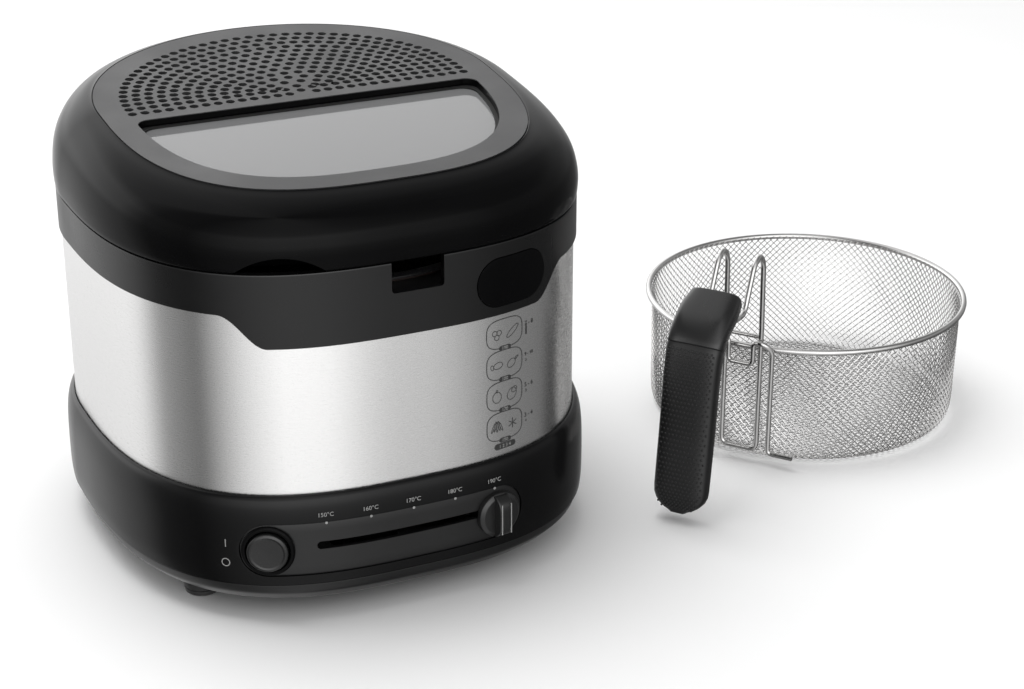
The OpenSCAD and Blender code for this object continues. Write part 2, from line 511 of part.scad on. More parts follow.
// the handle wire's way into the grip, seen from the side
wire_in = [[152, 0, 112.2], [134, 0, 111], [120.5, 0, 138]];
module handle_wire() color("#b5b5b5") in_handle() {
    v = wire_gap / 2;
    h = [[166, v, 113.6], for (p = wire_in) p + [0, v, 0], [112, v, 141], [106.1, v, 134], [tongue_u, v, 90],
        [tongue_u, v, 10]];
    wire(bend(concat(h, [for (i = [len(h) - 1:-1:0]) [h[i][0], -h[i][1], h[i][2]]]), 5), wire_r,
        [1, 1, 0.3]);
    translate([tongue_u, 0, rim_z + 9]) rotate([90, 0, 0]) translate([0, 0, -v])
        cylinder(r = 1.3, h = 2 * v, $fn = 32);
}
// one section of the grip: a rounded rectangle w wide and h thick, turned to lie across the path
function grip_ring(x, z, a, w, h) = [for (i = [0:35]) let (c = cos(i * 10), s = sin(i * 10),
    p = w / 2 * sgn(c) * pow(abs(c), 0.5), q = h / 2 * sgn(s) * pow(abs(s), 0.6))
    [x + q * cos(a), p, z + q * sin(a)]];
function grip_turn(i) = let (n = len(grip_path), a = grip_path[max(i - 1, 0)],
    b = grip_path[min(i + 1, n - 1)]) atan2(b[1] - a[1], b[0] - a[0]) + 90;
module grip_part(i0, i1, cut) difference() {
    skin([for (i = [i0:i1]) let (e = i == 0 ? 0.9 : i >= len(grip_path) - 1 ? 0.72 :
        i == len(grip_path) - 2 ? 0.93 : 1)
        grip_ring(grip_path[i][0], grip_path[i][1], grip_turn(i), (35 - 0.2 * i) * e, 14.5 * e)]);
    if (cut) for (s = [-1, 1]) translate([0, s * wire_gap / 2, 0])
        wire(bend(concat([[167.7, 0, 113.77]], wire_in), 5), wire_r + 0.1, [0, 1, 0]);
}
// frame of a grip screw: +Z points out of the grip's rear face
module at_screw(i) { translate([grip_path[i][0], 0, grip_path[i][1]])
    rotate([0, grip_turn(i) - 180, 0]) rotate([0, -90, 0]) children(); }
module grip_collar() color("#0d0d0d") in_handle() grip_part(0, 3, true);
module grip_body() color("#191919") in_handle() difference() {
    translate([0.04, 0, -0.12]) grip_part(3, len(grip_path) - 1, false);
    for (i = [5, 7]) at_screw(i) { translate([0, 0, 4]) cylinder(r = 3.4, h = 6, $fn = 40);
        translate([0, 0, -2]) cylinder(r = 1.5, h = 8, $fn = 32); }
}
module grip_screws() color("#8a8a8a") in_handle() for (i = [5, 7]) at_screw(i) {
    translate([0, 0, 4.1]) cylinder(r = 3.1, h = 2, $fn = 40);
    translate([0, 0, -1.9]) cylinder(r = 1.4, h = 6.1, $fn = 32);
}

at_origin() bottom_pan();
at_origin() rubber_feet();
at_origin() base_screws();
at_origin() base_shell();
at_origin() cord_gland();
at_origin() steel_band();
at_origin() top_ring();
at_origin() hinge_pin();
at_origin() bowl();
at_origin() bowl_gasket();
at_origin() heating_element();
at_origin() element_straps();
at_origin() heat_shield();
at_origin() shield_posts();
at_origin() thermal_fuse();
at_origin() sensor_bulb();
at_origin() regulator_body();
at_origin() terminal_block();
at_origin() power_switch();
at_origin() wiring();
at_origin() control_fascia();
at_origin() slide_rail();
at_origin() button_bezel();
at_origin() release_spring();
at_origin() lid_shell();
at_origin() top_plate();
at_origin() window_seal();
at_origin() window_pane();
at_origin() filter_tray();
at_origin() filter_pad();
at_origin() inner_cover();
at_origin() cover_screws();
at_origin() lid_seal();
at_origin() lid_catch();
at_origin() release_button();
at_origin() latch_hook();
at_origin() power_button();
at_origin() power_stem();
at_origin() temperature_knob();
at_origin() slide_carriage();
at_origin() basket_mesh();
at_origin() basket_rim();
at_origin() basket_bracket();
at_origin() handle_wire();
at_origin() grip_collar();
at_origin() grip_body();
at_origin() grip_screws();
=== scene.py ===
import json
import math

import bmesh
import bpy
from mathutils import Matrix, Vector


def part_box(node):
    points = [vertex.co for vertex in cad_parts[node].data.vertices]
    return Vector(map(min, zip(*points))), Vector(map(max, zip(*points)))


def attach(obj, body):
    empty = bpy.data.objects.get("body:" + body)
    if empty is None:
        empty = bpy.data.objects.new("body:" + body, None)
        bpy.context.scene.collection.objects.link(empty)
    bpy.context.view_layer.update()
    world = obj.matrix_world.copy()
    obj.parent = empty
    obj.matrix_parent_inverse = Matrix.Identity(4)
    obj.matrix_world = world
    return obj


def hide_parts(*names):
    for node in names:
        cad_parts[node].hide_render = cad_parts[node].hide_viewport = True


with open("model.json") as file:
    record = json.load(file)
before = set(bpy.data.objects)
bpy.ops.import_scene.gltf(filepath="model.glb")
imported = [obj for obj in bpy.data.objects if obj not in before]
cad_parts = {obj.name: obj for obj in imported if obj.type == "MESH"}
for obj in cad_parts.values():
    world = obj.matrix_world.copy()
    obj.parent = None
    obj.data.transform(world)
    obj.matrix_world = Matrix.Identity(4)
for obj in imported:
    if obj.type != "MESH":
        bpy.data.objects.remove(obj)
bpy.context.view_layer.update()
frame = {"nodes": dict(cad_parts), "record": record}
nodes = frame["nodes"]
MM = 0.001

# ---------- sizes of the body, in millimetres, as in the CAD model ----------
HALF_W = 140.0            # half of the body's width at the lid seam
FRONT_B = 164.5           # depth of the plan's front part
BACK_B = 128.5            # depth of the plan's rear part
FRONT_N = 2.81            # squareness of the front corners
BACK_N = 2.03             # squareness of the rear corners
PLAN_Y = (FRONT_B - BACK_B) / 2
RING_Z = 176.0            # lower edge of the top ring
SHIELD_Z = 158.0          # lower edge of the front shield
SEAM_Z = 199.0            # seam between ring and lid
BAND_Z = 74.0             # ledge that the steel band stands in
PAN_Z = 22.0              # seam of the bottom pan
FOOT_H = 8.0
FEET = [(-104, -86), (104, -86), (-95, 80), (95, 80)]
TOP_Z = 246.0             # lid plate on the widest line
TOP_SLOPE = math.radians(5.15)
TOP_INSET = 24.0
FRAME_W = 15.0            # frame round window and grille
WINDOW_D = TOP_INSET + FRAME_W
WINDOW_Y = 1.0            # straight rear edge of the window
WINDOW_R = 7.0
PLATE_H = 2.4
HOLE_PITCH = 7.0
HOLE_R = 2.576
BOWL_R = 106.0
BOWL_Y = -12.0
BOWL_FLOOR = 66.0
DECK_Z = 177.0
FASCIA_D = -3.0           # control strip, outwards of the plan
CTRL_Z = 43.5
CTRL_R = 15.2
CTRL_END_X = 48.0
SLOT_Z = CTRL_Z + 1.6
POWER_X = -81.4
RELEASE_X, RELEASE_Z = 60.3, 176.8
PAD_HALF = 9.65           # from the release pad's middle to each round end's centre
PAD_R = 13.65
SCOOP_X = -67.0           # finger scoop under the lid's edge
NOTCH_X, NOTCH_W, NOTCH_Z = 3.4, 29.4, 182.0
NOTCH_LEFT, NOTCH_RIGHT = NOTCH_X - NOTCH_W / 2, NOTCH_X + NOTCH_W / 2
SLIDE_R = 324.0
SLIDE_REST = 8.4          # degrees, knob at its hottest mark
BASKET_X, BASKET_Y = 329.0, -10.0
MESH_R = 98.7
RIM_Z = 76.3
HANDLE_DIR = math.radians(-143)
WIRE_R = 1.6
WIRE_GAP = 23.0
WEAVE = 4.48              # width of one diamond of the weave
WEAVE_R = 0.29            # wire radius of the weave
RIM_R = MESH_R + 0.05 + 1.9
TONGUE_U = RIM_R + 1.9 + 0.15 + WIRE_R
CROSS_U = TONGUE_U + 2 * WIRE_R + 0.2
GRIP = [(149, 125), (160, 119.5), (170, 113.5), (177.5, 105), (181, 93), (183.5, 76), (186.5, 53), (190, 30),
        (192.5, 13), (193.5, 6)]
STUD_PITCH = 2.35
GRIP_STEP = 0.985         # the lower grip is this much slimmer than its collar
FRAME_X, FRAME_Z = 55.4, 146.2
FRAME_PITCH = 18.2        # from one food picture to the next below it
PILL_Z = 79.6
COLUMNS = 288             # points round a body outline
MOVE = Vector((-143.675, -4.334, 0.0))   # from the fryer's own middle to the frame


# ---------- plan outline ----------
def power(v, p):
    return math.copysign(abs(v) ** p, v)


def plan_pt(t, d, f=0.0):
    """Point of the body's plan at angle t, moved in by d, and the front by f more."""
    c, s = math.cos(t), math.sin(t)
    n, b = (FRONT_N, FRONT_B - d - f) if s < 0 else (BACK_N, BACK_B - d)
    return (HALF_W - d) * power(c, 2 / n), PLAN_Y + b * power(s, 2 / n)


def front_y(x, d):
    return PLAN_Y - (FRONT_B - d) * (1 - (abs(x) / (HALF_W - d)) ** FRONT_N) ** (1 / FRONT_N)


class FrontLine:
    """The plan's front at inset d, measured along its own length from x = 0."""

    def __init__(self, d, reach=125.0, steps=1000):
        self.d = d
        self.x = [reach * (2 * i / steps - 1) for i in range(steps + 1)]
        self.s = [0.0]
        for a, b in zip(self.x, self.x[1:]):
            self.s.append(self.s[-1] + math.hypot(b - a, front_y(b, d) - front_y(a, d)))
        middle = self.s[steps // 2]
        self.s = [s - middle for s in self.s]

    @staticmethod
    def between(v, a, b):
        i = 0
        j = len(a) - 1
        while j - i > 1:
            k = (i + j) // 2
            if a[k] <= v:
                i = k
            else:
                j = k
        t = (v - a[i]) / (a[j] - a[i])
        return b[i] + t * (b[j] - b[i])

    def along(self, x):
        return self.between(x, self.x, self.s)

    def at(self, s, z, h=0.0):
        """Point at length s, height z and h outside the surface."""
        x = self.between(s, self.s, self.x)
        slope = (front_y(x + 0.5, self.d) - front_y(x - 0.5, self.d))
        n = Vector((slope, -1)).normalized()
        return Vector((x + n.x * h, front_y(x, self.d) + n.y * h, z))

    def frame(self, x, z):
        """Matrix whose origin is on the surface, +Z outwards, +X along it and +Y up."""
        s = self.along(x)
        p, q = self.at(s, z), self.at(s, z, 1)
        out = (q - p).normalized()
        up = Vector((0, 0, 1))
        side = up.cross(out)
        m = Matrix((side, up, out)).transposed().to_4x4()
        m.translation = p
        return m


fascia_line = FrontLine(FASCIA_D)
band_line = FrontLine(1.5)
ring_line = FrontLine(0.0)

# ---------- materials ----------
class Shader:
    """A node tree for one finish, built around a Principled shader."""

    def __init__(self, name, colour, roughness, metallic=0.0):
        self.m = bpy.data.materials.new(name)
        self.m.use_nodes = True
        self.t = self.m.node_tree
        self.p = self.t.nodes["Principled BSDF"]
        self.set("Base Color", (*colour, 1))
        self.set("Roughness", roughness)
        self.set("Metallic", metallic)
        self.m.diffuse_color = (*colour, 1)

    def set(self, socket, value):
        self.p.inputs[socket].default_value = value

    def node(self, kind, **values):
        n = self.t.nodes.new(kind)
        for key, value in values.items():
            if hasattr(n, key):
                setattr(n, key, value)
            else:
                n.inputs[key].default_value = value
        return n

    def link(self, out, socket):
        self.t.links.new(out, self.p.inputs[socket])

    def coords(self, kind="Object", scale=(1, 1, 1)):
        source = self.node("ShaderNodeTexCoord").outputs[kind]
        mapping = self.node("ShaderNodeMapping")
        mapping.inputs["Scale"].default_value = scale
        self.t.links.new(source, mapping.inputs["Vector"])
        return mapping.outputs["Vector"]

    def noise(self, scale, detail=3.0, kind="Object", stretch=(1, 1, 1)):
        n = self.node("ShaderNodeTexNoise", Scale=scale, Detail=detail)
        self.t.links.new(self.coords(kind, stretch), n.inputs["Vector"])
        return n.outputs["Fac"]

    def ramp(self, value, low, high, a, b):
        """a at low, b at high, as a number or a colour."""
        n = self.node("ShaderNodeValToRGB")
        n.color_ramp.elements[0].position = low
        n.color_ramp.elements[1].position = high
        for e, v in zip(n.color_ramp.elements, (a, b)):
            e.color = (*v, 1) if hasattr(v, "__len__") else (v, v, v, 1)
        self.t.links.new(value, n.inputs["Fac"])
        return n.outputs["Color"]

    def bump(self, height, strength, distance=0.0002):
        b = self.node("ShaderNodeBump")
        b.inputs["Strength"].default_value = strength
        b.inputs["Distance"].default_value = distance
        self.t.links.new(height, b.inputs["Height"])
        self.link(b.outputs["Normal"], "Normal")

    def vary(self, socket, value, low, high, a, b):
        self.link(self.ramp(value, low, high, a, b), socket)


def moulded(name, colour, roughness, grain, strength):
    """Moulded plastic: slight unevenness in gloss and colour, and the tool's fine grain."""
    s = Shader(name, colour, roughness)
    patch = s.noise(22, 4)
    s.vary("Roughness", patch, 0.3, 0.7, roughness * 0.85, roughness * 1.2)
    s.vary("Base Color", patch, 0.3, 0.7, [c * 0.88 for c in colour], [c * 1.14 for c in colour])
    s.bump(s.noise(grain, 2), strength, 0.00015)
    return s


def metal(name, colour, roughness, grain=900, strength=0.15, spread=0.25):
    s = Shader(name, colour, roughness, 1.0)
    patch = s.noise(60, 5)
    s.vary("Roughness", patch, 0.3, 0.7, roughness * (1 - spread), roughness * (1 + spread))
    s.vary("Base Color", patch, 0.25, 0.75, [c * 0.9 for c in colour], [min(1, c * 1.06) for c in colour])
    s.bump(s.noise(grain, 2), strength, 0.0001)
    return s


def gloss_black(name, roughness, level):
    s = moulded(name, (0.0028, 0.0028, 0.003), roughness, 240, 0.03)
    s.set("Specular IOR Level", level)
    return s.m


def brushed_band():
    s = Shader("brushed_band", (0.88, 0.875, 0.87), 0.3, 1.0)
    streak = s.noise(1, 6, "UV", (60, 9000, 1))
    short = s.noise(1, 3, "UV", (260, 4200, 1))
    both = s.node("ShaderNodeMath", operation="ADD")
    s.t.links.new(streak, both.inputs[0])
    s.t.links.new(short, both.inputs[1])
    s.vary("Base Color", both.outputs[0], 0.62, 1.0, (0.76, 0.755, 0.75), (0.98, 0.975, 0.97))
    s.vary("Roughness", both.outputs[0], 0.7, 1.0, 0.36, 0.24)
    s.bump(both.outputs[0], 0.25, 0.00006)
    tangent = s.node("ShaderNodeTangent", direction_type="UV_MAP")
    s.link(tangent.outputs[0], "Tangent")
    s.set("Anisotropic", 0.8)
    s.set("Anisotropic Rotation", 0.25)
    return s.m


def smoked_glass():
    s = Shader("window_glass", (0.25, 0.252, 0.255), 0.06)
    s.set("Transmission Weight", 0.4)
    s.set("IOR", 1.5)
    return s.m


def coated_bowl():
    s = Shader("bowl_coating", (0.03, 0.03, 0.032), 0.38)
    fleck = s.noise(1400, 2)
    s.vary("Base Color", fleck, 0.55, 0.72, (0.022, 0.022, 0.024), (0.1, 0.1, 0.1))
    s.vary("Roughness", s.noise(30, 4), 0.3, 0.7, 0.3, 0.46)
    s.bump(s.noise(700, 3), 0.2, 0.0001)
    return s.m


def felt():
    # Near-black felt: partly the filter's own dark colour, partly painted shade so the grille's holes read black
    s = Shader("filter_felt", (0.02, 0.02, 0.02), 0.95)
    fibre = s.noise(500, 6, stretch=(1, 1, 4))
    s.vary("Base Color", fibre, 0.3, 0.7, (0.012, 0.012, 0.012), (0.03, 0.03, 0.03))
    s.bump(fibre, 0.8, 0.0006)
    return s.m


M = {
    "gloss_black": gloss_black("polished_black", 0.1, 0.07),
    "shield_black": gloss_black("shield_black", 0.28, 0.5),
    "base_black": gloss_black("base_black", 0.2, 0.22),
    "satin_black": moulded("satin_black", (0.007, 0.007, 0.0072), 0.34, 1300, 0.12).m,
    "soft_black": moulded("soft_black", (0.012, 0.012, 0.0122), 0.28, 1100, 0.1).m,
    "grip_black": moulded("grip_black", (0.006, 0.006, 0.0062), 0.4, 1500, 0.2).m,
    "grey_plate": moulded("grey_plate", (0.05, 0.05, 0.051), 0.5, 1500, 0.3).m,
    "smoked_glass": smoked_glass(),
    "rubber": moulded("foot_rubber", (0.012, 0.012, 0.012), 0.62, 700, 0.3).m,
    # heat_rubber: near-black brown, far darker than the rubber's own red-brown; the darkening is painted shade for
    # the dim inside of the closed fryer
    "heat_rubber": moulded("heat_rubber", (0.03, 0.018, 0.015), 0.55, 700, 0.3).m,
    "brushed_band": brushed_band(),
    "bowl_coating": coated_bowl(),
    "element_steel": metal("element_steel", (0.2, 0.19, 0.18), 0.45).m,
    "bright_sheet": metal("bright_sheet", (0.72, 0.72, 0.73), 0.34, 500, 0.1, 0.06).m,
    "zinc": metal("zinc", (0.6, 0.6, 0.6), 0.32).m,
    "fuse": metal("fuse_can", (0.75, 0.75, 0.75), 0.3).m,
    "copper": metal("copper_tube", (0.72, 0.36, 0.2), 0.3).m,
    "cream_plastic": moulded("cream_plastic", (0.78, 0.75, 0.66), 0.45, 900, 0.2).m,
    "wire_sleeve": moulded("wire_sleeve", (0.42, 0.06, 0.04), 0.5, 800, 0.2).m,
    "filter_mat": felt(),
    "basket_wire": metal("basket_wire", (0.56, 0.555, 0.55), 0.2, 1200, 0.1).m,
    "white_print": moulded("white_print", (0.34, 0.34, 0.335), 0.5, 2000, 0.1).m,
    "dark_print": moulded("dark_print", (0.03, 0.03, 0.03), 0.5, 2000, 0.1).m,
}

# ---------- mesh tools ----------
def link(name, data):
    o = bpy.data.objects.new(name, data)
    bpy.context.scene.collection.objects.link(o)
    return o


def finish_mesh(me, angle=32):
    """Welds, turns the faces outwards and sets which edges stay sharp."""
    bm = bmesh.new()
    bm.from_mesh(me)
    bmesh.ops.remove_doubles(bm, verts=bm.verts, dist=2e-6)
    bmesh.ops.recalc_face_normals(bm, faces=bm.faces)
    bm.to_mesh(me)
    bm.free()
    me.shade_smooth()
    me.set_sharp_from_angle(angle=math.radians(angle))


def piece(name, verts, faces, material, angle=32, uv=None):
    """A mesh from millimetre points; uv gives a pair for each point."""
    me = bpy.data.meshes.new(name)
    me.from_pydata([(x * MM, y * MM, z * MM) for x, y, z in verts], [], faces)
    if uv:
        layer = me.uv_layers.new(name="UVMap")
        for loop in me.loops:
            layer.data[loop.index].uv = uv[loop.vertex_index]
    me.materials.append(M[material])
    finish_mesh(me, angle)
    return link(name, me)


def bake(o, angle=32):
    """Applies o's modifiers to its mesh."""
    bpy.context.view_layer.update()
    dg = bpy.context.evaluated_depsgraph_get()
    me = bpy.data.meshes.new_from_object(o.evaluated_get(dg))
    o.modifiers.clear()
    if o.type == "MESH":
        o.data = me
        fresh = o
    else:
        name = o.name
        o.name = name + "_line"
        fresh = link(name, me)
        bpy.data.objects.remove(o)
    if angle is not None:
        finish_mesh(fresh.data, angle)
    return fresh


def cut(o, cutter):
    """Takes cutter's volume away from o."""
    m = o.modifiers.new("cut", "BOOLEAN")
    m.object = cutter
    m.operation = "DIFFERENCE"
    m.solver = "EXACT"
    o = bake(o)
    bpy.data.objects.remove(cutter)
    return o


def soften(o, width, segments=2, limit=40, angle=32):
    m = o.modifiers.new("edge", "BEVEL")
    m.width = width * MM
    m.segments = segments
    m.limit_method = "ANGLE"
    m.angle_limit = math.radians(limit)
    m.use_clamp_overlap = True
    return bake(o, angle)


def done(o, body, slot, *replaced):
    o.data.transform(Matrix.Translation(MOVE * MM))
    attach(o, body)
    if replaced:
        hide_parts(*replaced)
    return o


def fillet(points, steps=5):
    """Closed outline of (d, z, r) points with each corner rounded to radius r."""
    out = []
    n = len(points)
    for i, (x, y, r) in enumerate(points):
        p = Vector((x, y))
        a = Vector(points[i - 1][:2]) - p
        b = Vector(points[(i + 1) % n][:2]) - p
        if r <= 0:
            out.append((x, y))
            continue
        turn = a.angle(b)
        reach = min(r / math.tan(turn / 2), a.length * 0.49, b.length * 0.49)
        start, end = p + a.normalized() * reach, p + b.normalized() * reach
        for k in range(steps + 1):
            t = k / steps
            q = start * (1 - t) ** 2 + p * 2 * t * (1 - t) + end * t * t
            out.append((q.x, q.y))
    return out


def spline(points, steps=5):
    """Open smooth curve through points of any length."""
    pts = [points[0], *points, points[-1]]
    out = []
    for i in range(1, len(pts) - 2):
        for k in range(steps):
            t = k / steps
            out.append(tuple(
                0.5 * (2 * b + (c - a) * t + (2 * a - 5 * b + 4 * c - e) * t * t + (3 * b - a - 3 * c + e) * t ** 3)
                for a, b, c, e in zip(*pts[i - 1:i + 3])))
    return out + [tuple(points[-1])]


def grid_faces(rows, cols, wrap_rows=True, wrap_cols=True):
    faces = []
    for j in range(rows if wrap_rows else rows - 1):
        for i in range(cols if wrap_cols else cols - 1):
            a, b = j * cols + i, j * cols + (i + 1) % cols
            k = ((j + 1) % rows) * cols
            faces.append((a, b, k + (i + 1) % cols, k + i))
    return faces


def loft(name, rings, material, closed=True, angle=32, uv=None):
    """Skin through rings of points; closed joins the last ring to the first, else the ends are capped."""
    n = len(rings[0])
    faces = grid_faces(len(rings), n, closed, True)
    if not closed:
        faces += [tuple(range(n)), tuple((len(rings) - 1) * n + i for i in range(n))]
    return piece(name, [p for r in rings for p in r], faces, material, angle, uv)


def ring3(d, z, k=0.0, f=0.0):
    """Ring round the plan at inset d and height z, rising backwards by k."""
    out = []
    for i in range(COLUMNS):
        x, y = plan_pt(2 * math.pi * i / COLUMNS, d, f)
        out.append((x, y, z + k * (y - PLAN_Y)))
    return out


def lathe(name, profile, material, centre=(0, 0), place=None, count=96):
    """Closed profile of (r, z) turned about a vertical axis at centre, or about place's own Z."""
    rings = []
    for r, z in profile:
        ring = []
        for i in range(count):
            a = 2 * math.pi * i / count
            p = Vector((centre[0] + r * math.cos(a), centre[1] + r * math.sin(a), z))
            ring.append(tuple(place @ p) if place else tuple(p))
        rings.append(ring)
    return loft(name, rings, material)


def prism(name, outline, place, low, high, material):
    """Outline of (x, y) points extruded along place's Z."""
    rings = [[tuple(place @ Vector((x, y, z))) for x, y in outline] for z in (low, high)]
    return loft(name, rings, material, False)


def block(name, x, y, z, material):
    outline = [(x[0], y[0]), (x[1], y[0]), (x[1], y[1]), (x[0], y[1])]
    return prism(name, outline, Matrix.Identity(4), z[0], z[1], material)


def join(name, first, *others):
    """Adds the other meshes to the first, removes them and names the result."""
    bm = bmesh.new()
    for o in (first, *others):
        bm.from_mesh(o.data)
    bm.to_mesh(first.data)
    bm.free()
    for o in others:
        bpy.data.objects.remove(o)
    first.data.set_sharp_from_angle(angle=math.radians(32))
    first.name = name
    return first


def stadium_columns(s0, s1, z, r, n=14, flats=24):
    """Columns (s, low, high) of a stadium whose end centres are at s0 and s1."""
    ends = [math.radians(90 * (i + 0.25) / (n + 0.25)) for i in range(n + 1)]
    left = [(s0 - r * math.cos(a), r * math.sin(a)) for a in ends]
    right = [(s1 + r * math.cos(a), r * math.sin(a)) for a in reversed(ends)]
    middle = [(s0 + (s1 - s0) * i / flats, r) for i in range(1, flats)]
    return [(s, z - h, z + h) for s, h in left + middle + right]


def front_solid(name, line, columns, low, high, material, rows=6):
    """Solid on the front between low and high outside the surface, with an upright grid of faces."""
    n = len(columns)
    verts = [line.at(s, a + (b - a) * k / rows, h) for h in (high, low)
             for k in range(rows + 1) for s, a, b in columns]
    layer = n * (rows + 1)
    faces = grid_faces(rows + 1, n, False, False)
    faces += [tuple(v + layer for v in reversed(f)) for f in faces]
    rim = [i for i in range(n)] + [k * n + n - 1 for k in range(1, rows + 1)]
    rim += [rows * n + i for i in range(n - 2, -1, -1)] + [k * n for k in range(rows - 1, 0, -1)]
    faces += [(a, a + layer, b + layer, b) for a, b in zip(rim, rim[1:] + rim[:1])]
    return piece(name, verts, faces, material)


def wires(name, paths, radius, material, sides=12, cyclic=False, angle=40):
    """Round wires along lists of millimetre points, made by a Geometry Nodes tree."""
    verts, edges = [], []
    for path in paths:
        start = len(verts)
        verts += [tuple(c * MM for c in p) for p in path]
        edges += [(start + i, start + i + 1) for i in range(len(path) - 1)]
        if cyclic:
            edges.append((start + len(path) - 1, start))
    me = bpy.data.meshes.new(name)
    me.from_pydata(verts, edges, [])
    o = link(name, me)
    run_tree(o, wire_tree(), {"Radius": radius * MM, "Sides": sides, "Material": M[material]})
    return bake(o, angle)


# ---------- geometry node trees ----------
def new_tree(name, **inputs):
    t = bpy.data.node_groups.new(name, "GeometryNodeTree")
    t.interface.new_socket("Geometry", in_out="INPUT", socket_type="NodeSocketGeometry")
    for key, kind in inputs.items():
        t.interface.new_socket(key, in_out="INPUT", socket_type="NodeSocket" + kind)
    t.interface.new_socket("Geometry", in_out="OUTPUT", socket_type="NodeSocketGeometry")
    group_in = t.nodes.new("NodeGroupInput")
    group_out = t.nodes.new("NodeGroupOutput")
    return t, group_in.outputs, group_out.inputs["Geometry"]


def add(t, kind, values=None, **links):
    n = t.nodes.new(kind)
    for key, value in (values or {}).items():
        if key in n.inputs:
            n.inputs[key].default_value = value
        else:
            setattr(n, key, value)
    for key, out in links.items():
        t.links.new(out, n.inputs[key.replace("_", " ")])
    return n


def run_tree(o, tree, values):
    m = o.modifiers.new(tree.name, "NODES")
    m.node_group = tree
    ids = {s.name: s.identifier for s in tree.interface.items_tree if s.in_out == "INPUT"}
    for key, value in values.items():
        m[ids[key]] = value


def maths(t, operation, a, b):
    n = add(t, "ShaderNodeMath", {"operation": operation})
    for socket, value in zip(n.inputs, (a, b)):
        if isinstance(value, bpy.types.NodeSocket):
            t.links.new(value, socket)
        else:
            socket.default_value = value
    return n.outputs[0]


def round_tube(t, i):
    """The tree's own edges made into round tube."""
    line = add(t, "GeometryNodeMeshToCurve", Mesh=i["Geometry"])
    ring = add(t, "GeometryNodeCurvePrimitiveCircle", Resolution=i["Sides"], Radius=i["Radius"])
    return add(t, "GeometryNodeCurveToMesh", {"Fill Caps": True}, Curve=line.outputs[0],
               Profile_Curve=ring.outputs["Curve"]).outputs[0]


def coated(t, i, out, geometry):
    """Ends a tree as one plain mesh in its material."""
    real = add(t, "GeometryNodeRealizeInstances", Geometry=geometry)
    coat = add(t, "GeometryNodeSetMaterial", Geometry=real.outputs[0], Material=i["Material"])
    t.links.new(coat.outputs[0], out)
    return t


def wire_tree():
    """Edges become round wires."""
    found = bpy.data.node_groups.get("round_wire")
    if found:
        return found
    t, i, out = new_tree("round_wire", Radius="Float", Sides="Int", Material="Material")
    smooth = add(t, "GeometryNodeSetShadeSmooth", Geometry=round_tube(t, i))
    return coated(t, i, out, smooth.outputs[0])


def strand_tree():
    """One bent strand is repeated round the basket's axis and made into wire."""
    t, i, out = new_tree("woven_strands", Count="Int", Radius="Float", Sides="Int", Centre="Vector",
                         Material="Material")
    still = add(t, "GeometryNodeMeshLine", {"Offset": (0, 0, 0)}, Count=i["Count"])
    share = maths(t, "DIVIDE", add(t, "GeometryNodeInputIndex").outputs[0], i["Count"])
    spin = add(t, "ShaderNodeCombineXYZ", Z=maths(t, "MULTIPLY", share, 2 * math.pi))
    copies = add(t, "GeometryNodeInstanceOnPoints", Points=still.outputs[0], Instance=round_tube(t, i),
                 Rotation=spin.outputs[0])
    moved = add(t, "GeometryNodeTransform", Geometry=copies.outputs[0], Translation=i["Centre"])
    return coated(t, i, out, moved.outputs[0])


def pierced_plate_tree():
    """A flat outline with a round hole at every loose point, made into a plate of the given thickness."""
    t, i, out = new_tree("pierced_plate", Hole_Radius="Float", Sides="Int", Thickness="Float",
                         Material="Material")

    def joined(a, b):
        both = t.nodes.new("GeometryNodeJoinGeometry")
        t.links.new(a.outputs[0], both.inputs[0])
        t.links.new(b.outputs[0], both.inputs[0])
        return both.outputs[0]

    line = add(t, "GeometryNodeMeshToCurve", Mesh=i["Geometry"])
    edged = maths(t, "GREATER_THAN", add(t, "GeometryNodeInputMeshVertexNeighbors").outputs[0], 0.5)
    loose = add(t, "GeometryNodeDeleteGeometry", {"domain": "POINT"}, Geometry=i["Geometry"], Selection=edged)
    ring = add(t, "GeometryNodeCurvePrimitiveCircle", Resolution=i["Sides"], Radius=i["Hole_Radius"])
    holes = add(t, "GeometryNodeInstanceOnPoints", Points=loose.outputs[0], Instance=ring.outputs["Curve"])
    real = add(t, "GeometryNodeRealizeInstances", Geometry=holes.outputs[0])
    fill = add(t, "GeometryNodeFillCurve", Curve=joined(line, real))
    thick = add(t, "GeometryNodeExtrudeMesh", {"Individual": False}, Mesh=fill.outputs[0],
                Offset_Scale=i["Thickness"])
    under = add(t, "GeometryNodeFlipFaces", Mesh=fill.outputs[0])
    weld = add(t, "GeometryNodeMergeByDistance", {"Distance": 1e-6}, Geometry=joined(thick, under))
    return coated(t, i, out, weld.outputs[0])


def cad_box_of(name):
    """Box of a CAD node in millimetres about the fryer's own middle."""
    return [Vector(c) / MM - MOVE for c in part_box(name)]


# ---------- housing ----------
def make_base_tray():
    floor_z = FOOT_H + 2.5
    profile = fillet([
        (9, FOOT_H, 0.8), (4.4, FOOT_H + 2.2, 4), (-1, FOOT_H + 8, 8), (-3, PAN_Z - 0.1, 0.3),
        (-0.7, PAN_Z - 0.1, 0.2), (1.6, FOOT_H + 8.4, 3), (5.6, FOOT_H + 4, 2), (10, floor_z, 0.5)])
    profile += [(HALF_W - 1, floor_z), (HALF_W - 1, FOOT_H)]
    tray = loft("base_tray", [ring3(d, z) for d, z in profile], "satin_black")
    slots = [block("slot", (i * 12 - 2, i * 12 + 2), (20, 70), (FOOT_H - 1, FOOT_H + 4), "satin_black")
             for i in range(-5, 6)]
    done(cut(tray, join("slots", *slots)), "housing", "satin_black", "bottom_pan")


